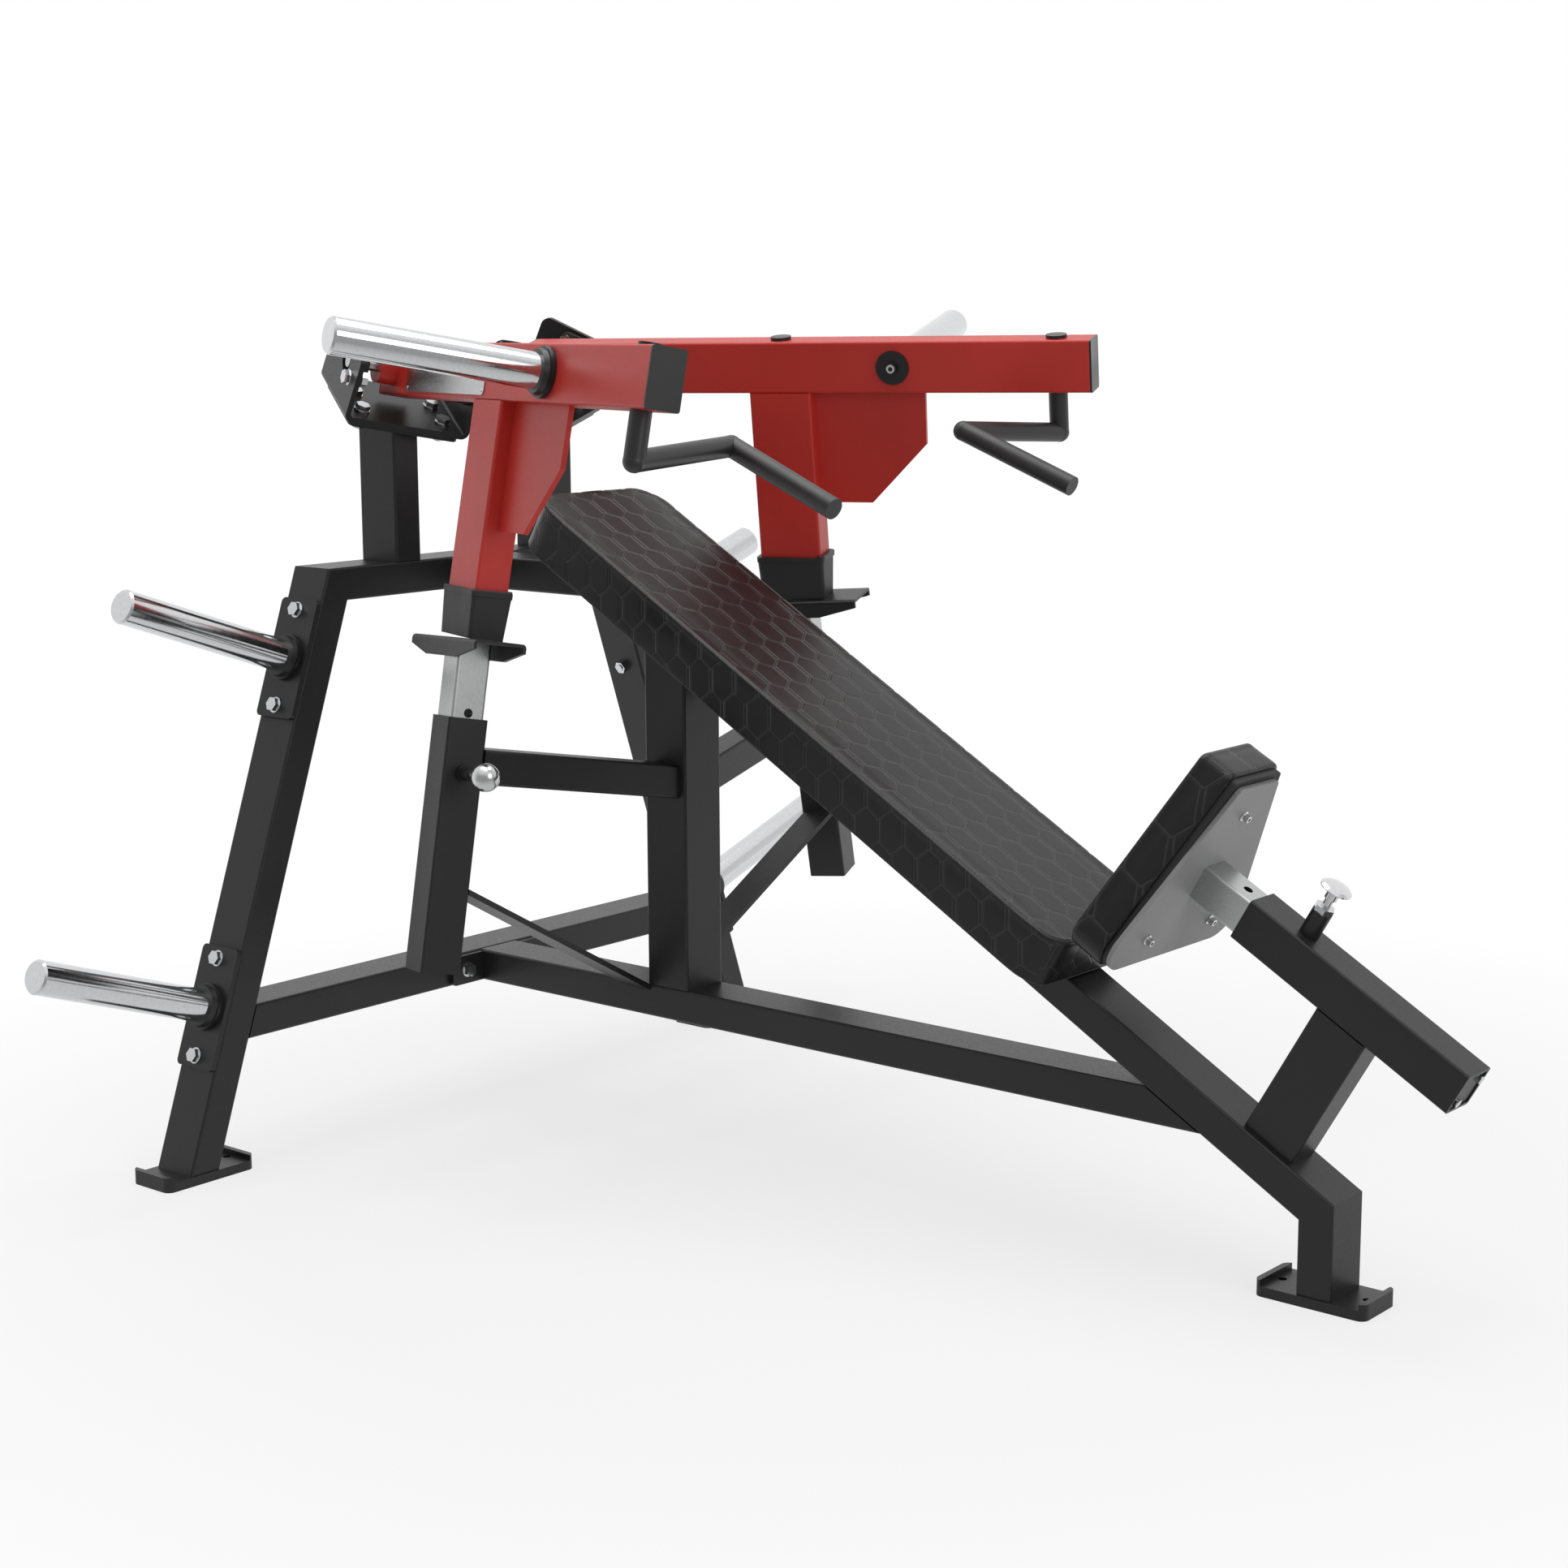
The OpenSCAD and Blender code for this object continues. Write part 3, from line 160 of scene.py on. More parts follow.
class PressFittings(bpy.types.PropertyGroup):
    """Sizes of the small screws, lips and rivets."""
    seat_head: length("Seat screw head", "Radius of a seat screw's head", 0.0050)
    seat_head_up: length("Seat screw height", "Height of a seat screw's head", 0.0080)
    seat_washer: length("Seat washer", "Radius of a seat screw's washer", 0.0075)
    seat_washer_up: length("Seat washer thickness", "Thickness of that washer", 0.0018)
    seat_key: length("Seat screw socket", "Half the socket's width across flats", 0.0025)
    lever_head: length("Lever screw head", "Radius of a lever screw's head", 0.0068)
    lever_past: length("Lever screw lift", "How far the head stands past its stub", 0.0012)
    lever_least: length("Lever screw height", "Least height of a lever screw's head", 0.0040)
    lever_washer: length("Lever washer", "Radius of a lever screw's washer", 0.0078)
    lever_washer_up: length("Lever washer thickness", "Thickness of that washer", 0.0006)
    lever_key: length("Lever screw socket", "Half the socket's width across flats", 0.0034)
    lip_tall: length("Lip height", "Height of the band round a boot's mouth", 0.0085)
    lip_proud: length("Lip stand", "How far the band stands out", 0.0010)
    lip_wall: length("Lip wall", "Thickness of the band", 0.0028)
    lip_round: length("Lip corners", "Corner radius of the band", 0.0060)
    rivet: length("Rivet", "Radius of a name plate's rivets", 0.0022)
    rivet_up: length("Rivet height", "Height of a rivet's dome", 0.0013)
    rivet_from_end: length("Rivet from end", "Middle of a rivet from the plate's end", 0.0070)
    rivet_from_edge: length("Rivet from edge", "Middle of a rivet from its long edge", 0.0060)


class PressStage(bpy.types.PropertyGroup):
    """The studio round the machine."""
    floor_tint: tint("Floor", "Colour of the floor", (0.90, 0.90, 0.90))
    room: share("Room", "Brightness of the room in front of the machine, as metal shows it", 0.42)
    sky: share("Sky", "Strength of the light from all round", 0.36)
    key: FloatProperty(name="Key light", description="Power of the large lamp overhead",
                       default=85.0, min=0.0)
    side: FloatProperty(name="Side light", description="Power of the lamp beside the machine",
                        default=40.0, min=0.0)
    over_size: length("Key size", "Side of the large lamp overhead", 3.2)
    side_size: length("Side size", "Side of the lamp beside the machine", 2.4)
    reach: length("Floor reach", "Half the floor's side", 40.0)


# --- Node graphs -----------------------------------------------------------------------------

class Graph:
    """Adds nodes to one node tree and links them."""

    def __init__(self, tree):
        self.tree = tree

    def add(self, kind, values=None, **settings):
        """One node with its settings and the values of its unlinked inputs."""
        node = self.tree.nodes.new("ShaderNode" + kind)
        for key, value in settings.items():
            setattr(node, key, value)
        for key, value in (values or {}).items():
            if isinstance(value, bpy.types.NodeSocket):
                self.link(value, node.inputs[key])
            else:
                node.inputs[key].default_value = value
        return node

    def link(self, value, socket):
        """Joins an output to an input."""
        self.tree.links.new(value, socket)

    def math(self, operation, a, b=0.0):
        """The result of one sum on two numbers or sockets."""
        return self.add("Math", {0: a, 1: b}, operation=operation).outputs[0]

    def along(self, place, direction):
        """How far a point lies in a direction."""
        return self.add("VectorMath", {0: place, 1: direction},
                        operation="DOT_PRODUCT").outputs["Value"]

    def place(self):
        """Object coordinates, in metres in the machine's own axes."""
        return self.add("TexCoord").outputs["Object"]

    def noise(self, scale, detail=3.0, rough=0.5, stretch=(1.0, 1.0, 1.0)):
        """Noise in the machine's own axes, stretched along each of them."""
        at = self.add("Mapping", {"Vector": self.place(), "Scale": stretch})
        return self.add("TexNoise", {"Vector": at.outputs[0], "Scale": scale, "Detail": detail,
                                     "Roughness": rough}).outputs["Fac"]

    def remap(self, value, low, high, from_low=0.3, from_high=0.7):
        """A value carried from one range to another."""
        return self.add("MapRange", {"Value": value, "From Min": from_low,
                                     "From Max": from_high, "To Min": low,
                                     "To Max": high}).outputs[0]

    def mix(self, factor, a, b):
        """A colour between two colours."""
        node = self.add("Mix", data_type="RGBA")
        for key, value in (("Factor", factor), ("A", a), ("B", b)):
            socket = next(s for s in node.inputs if s.name == key and s.enabled)
            if isinstance(value, bpy.types.NodeSocket):
                self.link(value, socket)
            else:
                socket.default_value = value
        return next(s for s in node.outputs if s.enabled)

    def bump(self, height, strength, distance, under=None):
        """A bump that stacks on another one."""
        values = {"Height": height, "Strength": strength, "Distance": distance}
        if under is not None:
            values["Normal"] = under
        return self.add("Bump", values).outputs[0]


class Finish(Graph):
    """A new material: its node tree, its shader and the shader's plain values."""

    def __init__(self, name, **constants):
        self.material = bpy.data.materials.new(name)
        self.material.use_nodes = True
        super().__init__(self.material.node_tree)
        self.shader = self.tree.nodes["Principled BSDF"]
        for socket, value in constants.items():
            self.shader.inputs[socket.replace("_", " ")].default_value = value

    def out(self, socket, value):
        """Links a value to the shader."""
        self.link(value, self.shader.inputs[socket])


def rgba(color, times=1.0):
    """A colour of four numbers, made lighter or darker."""
    return (color[0] * times, color[1] * times, color[2] * times, 1.0)


def powder_coat(name, color, rough, speckle=0.10):
    """Powder coat: a fine orange peel, a faint drift of tone and tiny paler specks."""
    g = Finish(name, Specular_IOR_Level=0.38)
    drift = g.noise(6.0, 2.0)
    speck = g.noise(1400.0, 2.0, 0.6)
    tone = g.mix(g.remap(drift, 0.0, 1.0), rgba(color, 0.92), rgba(color, 1.08))
    g.out("Base Color", g.mix(g.remap(speck, 0.0, speckle, 0.55, 0.8), tone,
                              rgba([min(1.0, c + 0.08) for c in color])))
    g.out("Roughness", g.remap(g.noise(300.0), rough - 0.04, rough + 0.05))
    peel = g.bump(g.noise(420.0, 2.0), 0.10, 0.0004)
    g.out("Normal", g.bump(speck, 0.08, 0.0002, peel))
    return g.material


def plated(name, color, rough, grain, stretch=(1.0, 1.0, 1.0), depth=0.0):
    """Polished or drawn metal with a fine directional grain."""
    g = Finish(name, Metallic=1.0)
    lines = g.noise(grain, 2.0, 0.5, stretch)
    broad = g.noise(9.0, 2.0)
    g.out("Base Color", g.mix(g.remap(lines, 0.0, 1.0), rgba(color, 0.95), rgba(color, 1.04)))
    g.out("Roughness", g.math("ADD", g.remap(lines, rough * 0.85, rough * 1.15),
                              g.remap(broad, -0.01, 0.02)))
    if depth:
        g.out("Normal", g.bump(lines, depth, 0.00003))
    return g.material


def moulded(name, color, rough, grain=600.0, depth=0.06):
    """Moulded plastic or rubber with a fine matt grain and slight wear in its gloss."""
    g = Finish(name, Specular_IOR_Level=0.5)
    fine = g.noise(grain, 3.0, 0.55)
    broad = g.noise(14.0, 3.0)
    g.out("Base Color", g.mix(g.remap(broad, 0.0, 1.0), rgba(color, 0.85), rgba(color, 1.2)))
    g.out("Roughness", g.remap(broad, rough - 0.05, rough + 0.07))
    g.out("Normal", g.bump(fine, depth, 0.0002))
    return g.material


def embossed_cover(name, finishes, pads):
    """Leatherette with lines round long hexagons, on the piece's own UV map in metres.

    The depth inside a cell is the least of its distances to a long side and to a slanted side,
    taken from the nearer of two staggered grids of cell middles.
    """
    g = Finish(name, Specular_IOR_Level=0.32)
    uv = g.add("SeparateXYZ", {0: g.add("UVMap", uv_map="cover").outputs[0]})
    long_by, wide_by = pads.cell_long, pads.cell_wide
    half_wide = wide_by / 2
    # Whole cells that keep the coordinates above 0 all over a pad.
    cells = 20
    # Unit normals of a slanted side and the distance from the centre to each side.
    lean = math.atan2(half_wide, long_by / 6)
    nx, ny = math.sin(lean), math.cos(lean)
    reach = (long_by / 2 * nx + half_wide * ny) / 2

    def grid(du, dv):
        """Depth inside a cell's outline, less than 0 between the long sides of two cells."""
        u = g.math("PINGPONG", g.math("ADD", uv.outputs[0], du + cells * long_by), long_by / 2)
        v = g.math("PINGPONG", g.math("ADD", uv.outputs[1], dv + cells * wide_by), half_wide)
        flat = g.math("SUBTRACT", half_wide - pads.groove / 2, v)
        slant = g.math("SUBTRACT", reach,
                       g.math("ADD", g.math("MULTIPLY", u, nx), g.math("MULTIPLY", v, ny)))
        return g.math("MINIMUM", flat, slant)

    inside = g.math("MAXIMUM", grid(0.0, 0.0), grid(long_by / 2, half_wide))
    # The long sides of two cells lie apart, so they show two lines; slanted sides share one.
    line = g.remap(g.math("ABSOLUTE", inside), 1.0, 0.0, 0.0003, 0.0015)
    band = g.remap(inside, 1.0, 0.0, 0.0002, 0.0032)
    grain = g.add("TexVoronoi", {"Vector": g.place(), "Scale": 900.0}).outputs["Distance"]
    crease = g.noise(60.0, 4.0, 0.6)
    drift = g.noise(5.0, 2.0)
    cover = g.mix(g.remap(drift, 0.0, 1.0), rgba(finishes.cover_tint, 0.88),
                  rgba(finishes.cover_tint, 1.12))
    # Painted highlight: the embossed lines get a lighter colour that stands in for light on their
    # ridges.
    g.out("Base Color", g.mix(line, cover, rgba(finishes.painted_highlight_tint)))
    g.out("Roughness", g.remap(crease, 0.29, 0.36))
    puff = g.bump(g.math("SUBTRACT", 1.0, band), 0.35, 0.0014)
    stitch = g.bump(line, 0.5, 0.0009, puff)
    folds = g.bump(crease, 0.04, 0.0010, stitch)
    g.out("Normal", g.bump(grain, 0.06, 0.0002, folds))
    return g.material


def wear(piece, material):
    """Gives a piece, or the CAD node of that name, one material in every slot."""
    mesh = NODES[piece].data if isinstance(piece, str) else piece.data
    mesh.materials.clear()
    mesh.materials.append(material)


# --- Mesh helpers ----------------------------------------------------------------------------

def new_piece(name, verts, faces, material, smooth=True):
    """A mesh object from arrays of points in metres and of corners."""
    mesh = bpy.data.meshes.new(name)
    mesh.from_pydata(np.asarray(verts, float).tolist(), [], [tuple(map(int, f)) for f in faces])
    mesh.validate()
    mesh.polygons.foreach_set("use_smooth", [smooth] * len(mesh.polygons))
    mesh.materials.append(material)
    obj = bpy.data.objects.new(name, mesh)
    bpy.context.scene.collection.objects.link(obj)
    return obj


def loft(rings, close_ends=True):
    """Points and faces of a skin through rings of equal length, each a closed loop."""
    rings = np.asarray(rings)
    n, m = rings.shape[:2]
    i, j = np.meshgrid(np.arange(n - 1), np.arange(m), indexing="ij")
    k = (j + 1) % m
    quads = np.stack([i * m + j, i * m + k, (i + 1) * m + k, (i + 1) * m + j], -1).reshape(-1, 4)
    faces = [list(q) for q in quads]
    if close_ends:
        faces += [list(range(m))[::-1], list(range((n - 1) * m, n * m))]
    return rings.reshape(-1, 3), faces


def outline(corners, radii, steps=14):
    """A closed 2D outline with rounded corners: straight flanks joined by arcs, as an array."""
    corners = np.asarray(corners, float)
    points = []
    for i, (p, r) in enumerate(zip(corners, radii)):
        a = corners[i - 1] - p
        b = corners[(i + 1) % len(corners)] - p
        a, b = a / np.linalg.norm(a), b / np.linalg.norm(b)
        half = math.acos(np.clip(a @ b, -1, 1)) / 2
        start, end = p + a * r / math.tan(half), p + b * r / math.tan(half)
        middle = p + (a + b) / np.linalg.norm(a + b) * r / math.sin(half)
        t0 = math.atan2(*(start - middle)[::-1])
        t1 = math.atan2(*(end - middle)[::-1])
        turn = (t1 - t0 + math.pi) % (2 * math.pi) - math.pi
        t = t0 + turn * np.linspace(0, 1, steps)
        points.append(middle + r * np.stack([np.cos(t), np.sin(t)], -1))
    return np.concatenate(points)


def inset(loop, by):
    """An outline moved inwards along its own normals."""
    nxt, prv = np.roll(loop, -1, 0), np.roll(loop, 1, 0)
    t = nxt - prv
    t /= np.linalg.norm(t, axis=1)[:, None] + 1e-12
    area = np.sum(loop[:, 0] * nxt[:, 1] - nxt[:, 0] * loop[:, 1])
    n = np.stack([-t[:, 1], t[:, 0]], -1) * (1 if area > 0 else -1)
    return loop + n * by


def cushion_skin(loop, low, high, edge):
    """A pad's closed skin: an outline swept up its side, round its edge and over its face."""
    turns = np.linspace(0, math.pi / 2, 7)
    soft = edge * 0.5
    levels = [(inset(loop, soft * (1 - math.sin(t))), low + soft * (1 - math.cos(t)))
              for t in turns]
    levels += [(inset(loop, edge * (1 - math.cos(t))), high - edge * (1 - math.sin(t)))
               for t in turns]
    return loft([np.column_stack([q, np.full(len(q), h)]) for q, h in levels])


def set_down(obj, axes):
    """Carries a mesh from the pad's own axes to the machine's: points times three rows."""
    co = points_of(obj) @ np.stack(axes)
    obj.data.vertices.foreach_set("co", co.ravel())
    if np.linalg.det(np.stack(axes)) < 0:
        obj.data.flip_normals()
    obj.data.update()


def stuffed(obj, pads, low):
    """Cloth: the remeshed cover is blown up a little by its stuffing and then kept.

    The part of it on the board, near the height low, is held. A move of the length m becomes
    swell times tanh(m / swell), so that it never passes the swell.
    """
    remesh = obj.modifiers.new("remesh", "REMESH")
    remesh.mode = "VOXEL"
    remesh.voxel_size = pads.voxel
    apply_modifiers(obj)
    mesh = obj.data
    before = points_of(obj)
    group = obj.vertex_groups.new(name="board")
    held = before[:, 2] < low + pads.voxel
    group.add([int(i) for i in np.flatnonzero(held)], 1.0, "REPLACE")
    cloth = obj.modifiers.new("stuffing", "CLOTH")
    settings = cloth.settings
    settings.use_pressure = True
    settings.uniform_pressure_force = PRESSURE
    settings.effector_weights.gravity = 0.0
    settings.quality = 5
    settings.mass = 0.4
    settings.vertex_group_mass = "board"
    for step in range(1, FRAMES + 1):
        bpy.context.scene.frame_set(step)
    move = points_of(obj.evaluated_get(bpy.context.evaluated_depsgraph_get())) - before
    far = np.linalg.norm(move, axis=1)[:, None] + 1e-9
    move *= np.tanh(far / pads.swell) * pads.swell / far
    obj.modifiers.clear()
    obj.vertex_groups.clear()
    mesh.vertices.foreach_set("co", (before + move).ravel())
    bpy.context.scene.frame_set(1)


def apply_modifiers(obj):
    """Puts the result of the modifiers into the mesh."""
    done = obj.evaluated_get(bpy.context.evaluated_depsgraph_get())
    mesh = bpy.data.meshes.new_from_object(done)
    old = obj.data
    obj.modifiers.clear()
    obj.data = mesh
    mesh.name = old.name
    bpy.data.meshes.remove(old)


def smooth_once(obj):
    """One level of subdivision, kept in the mesh."""
    sub = obj.modifiers.new("smooth", "SUBSURF")
    sub.levels = sub.render_levels = 1
    apply_modifiers(obj)
    obj.data.polygons.foreach_set("use_smooth", [True] * len(obj.data.polygons))


def firm_edges(obj, pads, loop, low, high, edge):
    """Brings a stuffed cover back to its sewn shape near the edge of its face.

    It is drawn onto the skin of the full outline. The share drawn is 1.3 times what is left of
    the distance "firm", and at most 1. The distance is the greater of the way in from the
    outline and the depth below the face, and the depth counts for half of "firm" at most.
    """
    steep, deepest = 1.3, pads.firm * 0.5
    verts, faces = cushion_skin(loop, low, high, edge)
    form = new_piece("edge_form", verts, faces, obj.data.materials[0])
    wrap = obj.modifiers.new("form", "SHRINKWRAP")
    wrap.target = form
    wrap.wrap_method = "NEAREST_SURFACEPOINT"
    drawn = points_of(obj.evaluated_get(bpy.context.evaluated_depsgraph_get()))
    obj.modifiers.clear()
    shape = form.data
    bpy.data.objects.remove(form)
    bpy.data.meshes.remove(shape)
    co = points_of(obj)
    run = even(np.column_stack([loop, np.zeros(len(loop))]), pads.welt_pitch)[:, :2]
    beside = np.sqrt(((co[:, None, :2] - run[None]) ** 2).sum(-1).min(1))
    off = np.maximum(beside, np.clip(high - co[:, 2], 0.0, deepest))
    drawn_by = np.clip(steep - off / pads.firm * steep, 0.0, 1.0)[:, None]
    co = co + (drawn - co) * drawn_by
    obj.data.vertices.foreach_set("co", co.ravel())
    obj.data.update()


def lay_cover(obj, face, along, across, start, pads, size):
    """A UV map in metres: each facet is laid flat from the side that it looks to most.

    The face reads (along, across) from the point start, the middle of one cell. The flanks
    hang with the cells' length upright, and their cells have their own size.
    """
    mesh = obj.data
    n, loops = len(mesh.polygons), len(mesh.loops)
    normal = np.zeros(n * 3)
    mesh.polygons.foreach_get("normal", normal)
    total = np.zeros(n, int)
    mesh.polygons.foreach_get("loop_total", total)
    corner = np.zeros(loops, int)
    mesh.loops.foreach_get("vertex_index", corner)
    co = points_of(obj)[corner]
    normal = np.repeat(normal.reshape(-1, 3), total, axis=0)
    facing = np.abs(normal @ face)
    flank = np.abs(normal @ across)
    end = np.abs(normal @ along)
    uv = np.stack([co @ along - start[0], co @ across - start[1]], -1)
    side = np.stack([co[:, 2] - pads.flank_z, co[:, 0] - pads.flank_x], -1) / size
    tip = np.stack([co[:, 2] - pads.flank_z, co[:, 1]], -1) / size
    uv = np.where(((flank > facing) & (flank >= end))[:, None], side, uv)
    uv = np.where(((end > facing) & (end > flank))[:, None], tip, uv)
    layer = mesh.uv_layers.new(name="cover")
    layer.data.foreach_set("uv", uv.ravel())


def points_of(obj):
    """All points of a piece, as an array."""
    co = np.zeros(len(obj.data.vertices) * 3)
    obj.data.vertices.foreach_get("co", co)
    return co.reshape(-1, 3)


def pressed_on(loop3, obj, steps=14):
    """A closed loop moved onto a piece: each point goes to the piece's nearest point, and the
    moves are then averaged along the loop."""
    skin = points_of(obj)
    near = ((loop3[:, None] - skin[None]) ** 2).sum(-1).argmin(1)
    move = skin[near] - loop3
    for _ in range(steps):
        move = (np.roll(move, 1, 0) + 2 * move + np.roll(move, -1, 0)) / 4
    return loop3 + move


def even(loop3, pitch):
    """A closed loop of points at an even pitch, by interpolation over its length."""
    ends = np.concatenate([loop3, loop3[:1]])
    run = np.concatenate([[0], np.cumsum(np.linalg.norm(np.diff(ends, axis=0), axis=1))])
    at = np.linspace(0, run[-1], int(run[-1] / pitch), endpoint=False)
    return np.stack([np.interp(at, run, ends[:, k]) for k in range(3)], -1)


def welt(name, loop3, radius, material, nick, pitch):
    """A rolled seam: a small circle carried round a closed loop of points in space.

    Its radius dips by the share nick in a narrow notch at every pitch along the loop.
    """
    nxt, prv = np.roll(loop3, -1, 0), np.roll(loop3, 1, 0)
    t = nxt - prv
    t /= np.linalg.norm(t, axis=1)[:, None]
    up = np.mean(np.cross(loop3 - loop3.mean(0), nxt - loop3.mean(0)), 0)
    up /= np.linalg.norm(up)
    b = np.cross(up, t)
    a = np.linspace(0, 2 * math.pi, 10, endpoint=False)
    run = np.cumsum(np.linalg.norm(loop3 - prv, axis=1))
    notch_wide = 0.003
    notch = np.exp(-((run + pitch / 2) % pitch - pitch / 2) ** 2 / notch_wide ** 2)
    girth = (radius * (1 - nick * notch))[:, None, None]
    ring = (loop3[:, None] + girth * (np.cos(a)[None, :, None] * up
                                      + np.sin(a)[None, :, None] * b[:, None]))
    ring = np.concatenate([ring, ring[:1]])
    verts, faces = loft(ring, close_ends=False)
    obj = new_piece(name, verts, faces, material)
    face_outwards(obj)
    return obj


def corners_of(node):
    """All points of a CAD node, as an array."""
    return points_of(NODES[node])


def islands_of(node):
    """The points of each separate solid in a CAD node, as a list of arrays.

    Points in one place count as one. Each takes the lowest number among its neighbours until
    nothing changes.
    """
    mesh = NODES[node].data
    co, same = np.unique(np.round(corners_of(node), 5), axis=0, return_inverse=True)
    ends = np.zeros(len(mesh.edges) * 2, int)
    mesh.edges.foreach_get("vertices", ends)
    a, b = same.ravel()[ends].reshape(-1, 2).T
    mark = np.arange(len(co))
    while True:
        low = np.minimum(mark[a], mark[b])
        new = mark.copy()
        np.minimum.at(new, a, low)
        np.minimum.at(new, b, low)
        new = new[new]
        if np.array_equal(new, mark):
            break
        mark = new
    return [co[mark == m] for m in np.unique(mark)]


def broad_sides(node):
    """Two unit normals of a CAD node's largest standing faces, square to each other."""
    mesh = NODES[node].data
    n = len(mesh.polygons)
    normal, area = np.zeros(n * 3), np.zeros(n)
    mesh.polygons.foreach_get("normal", normal)
    mesh.polygons.foreach_get("area", area)
    normal = normal.reshape(-1, 3)
    area = area * (np.abs(normal[:, 2]) < 0.5)
    first = normal[area.argmax()]
    second = normal[(area * (np.abs(normal @ first) < 0.1)).argmax()]
    second = second - first * (second @ first)
    return first / np.linalg.norm(first), second / np.linalg.norm(second)


def socket_screw(name, foot, axis, head, height, washer, thick, key, material):
    """A socket head screw on a washer: rings of 24 points carried up the washer and the head,
    over its rounded rim and down into a six-sided socket. Radii and lengths in metres."""
    axis = np.asarray(axis) / np.linalg.norm(axis)
    u = np.cross(axis, ACROSS if abs(axis[1]) < 0.8 else OUT)
    u /= np.linalg.norm(u)
    v = np.cross(axis, u)
    a = np.linspace(0, 2 * math.pi, 24, endpoint=False)
    flat = 1 / np.cos((a + math.pi / 6) % (math.pi / 3) - math.pi / 6)
    soft, top = 0.0006, thick + height
    rings = [(washer, 0.0, 0), (washer, thick * 0.7, 0), (washer - thick * 0.3, thick, 0),
             (head + soft / 2, thick, 0), (head, thick + soft / 2, 0), (head, top - soft, 0),
             (head - soft * 0.3, top - soft * 0.3, 0), (head - soft, top, 0), (key, top, 1),
             (key, top - height * 0.55, 1)]
    rings = [foot + axis * z + (r * (flat if six else 1.0) * (u[:, None] * np.cos(a)
             + v[:, None] * np.sin(a))).T for r, z, six in rings]
    verts, faces = loft(rings)
    obj = new_piece(name, verts, faces, material, smooth=False)
    face_outwards(obj)
    return obj


def face_outwards(obj):
    """Turns a closed mesh's faces outwards and welds points that meet."""
    bm = bmesh.new()
    bm.from_mesh(obj.data)
    bmesh.ops.remove_doubles(bm, verts=bm.verts, dist=1e-5)
    bmesh.ops.recalc_face_normals(bm, faces=bm.faces)
    bm.to_mesh(obj.data)
    bm.free()


# --- Operators: one for each group of pieces ---------------------------------------------------

class PRESS_OT_frame_finish(bpy.types.Operator):
    """Black powder coat on the frame and steel on its fasteners"""
    bl_idname = "press.frame_finish"
    bl_label = "Frame finish"

    def execute(self, context):
        f = context.scene.press_finishes
        coat = powder_coat("frame_powder_coat", f.frame_tint, f.paint_rough, speckle=0.25)
        for node in ("rear_leg_left", "rear_leg_right", "top_crossbar", "lower_crossbar",
                     "pivot_uprights", "base_tube", "center_post", "top_rail", "incline_tube",
                     "front_post", "seat_strut", "seat_sleeve", "stop_sleeve_left",
                     "stop_sleeve_right", "stand_braces", "stand_diagonals", "foot_plates",
                     "storage_plates", "pivot_brackets", "stop_plate_left",
                     "stop_plate_right"):
            wear(node, coat)
        wear("pivot_bearings", moulded("bearing_casting", f.bearing_tint, 0.5, 250.0, 0.25))
        wear("bench_board", moulded("board_film", f.board_tint, 0.6))
        zinc = plated("zinc_plate", f.zinc_tint, 0.18, 500.0)
        for node in ("frame_bolts", "frame_nuts", "seat_screws"):
            wear(node, zinc)
        return {"FINISHED"}


class PRESS_OT_metal_finish(bpy.types.Operator):
    """Chrome horns, drawn steel posts, the pins and the seat plate"""
    bl_idname = "press.metal_finish"
    bl_label = "Bare metal"

    def execute(self, context):
        f = context.scene.press_finishes
        chrome = plated("horn_chrome", f.chrome_tint, f.chrome_rough, 220.0)
        for node in ("storage_horns", "arm_horn_left", "arm_horn_right"):
            wear(node, chrome)
        drawn = plated("drawn_steel", f.stop_tint, 0.30, 240.0, (6.0, 6.0, 0.3), 0.3)
        for node in ("stop_post_left", "stop_post_right", "pivot_shaft_left",
                     "pivot_shaft_right"):
            wear(node, drawn)
        wear("seat_post", plated("seat_post_steel", f.post_tint, 0.30, 240.0, (0.4, 6.0, 3.0),
                                 0.3))
        satin = plated("knob_steel", f.ball_tint, 0.22, 300.0)
        for node in ("stop_pin_left", "stop_pin_right"):
            wear(node, satin)
        wear("seat_pin", plated("knob_chrome", f.knob_tint, 0.08, 200.0))
        wear("pin_barrels", powder_coat("barrel_coat", f.frame_tint, 0.35))
        wear("seat_plate", powder_coat("seat_plate_coat", f.plate_tint, 0.45, 0.1))
        return {"FINISHED"}


class PRESS_OT_arm_finish(bpy.types.Operator):
    """Red powder coat on the lever arms, plastic on their caps and rubber on their boots"""
    bl_idname = "press.arm_finish"
    bl_label = "Lever arms"

    def execute(self, context):
        f = context.scene.press_finishes
        coat = powder_coat("arm_powder_coat", f.arm_tint, f.paint_rough, 0.22)
        plastic = moulded("black_plastic", f.plastic_tint, 0.34)
        rubber = moulded("boot_rubber", f.rubber_tint, 0.50, 500.0, 0.12)
        grip = moulded("grip_coating", f.grip_tint, 0.42, 800.0, 0.10)
        plate = plated("bare_plate", f.name_tint, 0.26, 220.0, (0.6, 2.0, 10.0))
        for side, _ in MIRRORED:
            for node in ("arm_tube", "drop_leg", "gusset"):
                wear(f"{node}_{side}", coat)
            for node in ("arm_caps", "horn_rings"):
                wear(f"{node}_{side}", plastic)
            wear(f"boot_{side}", rubber)
            wear(f"handle_{side}", grip)
            wear(f"name_plate_{side}", plate)
        wear("storage_collars", plastic)
        return {"FINISHED"}


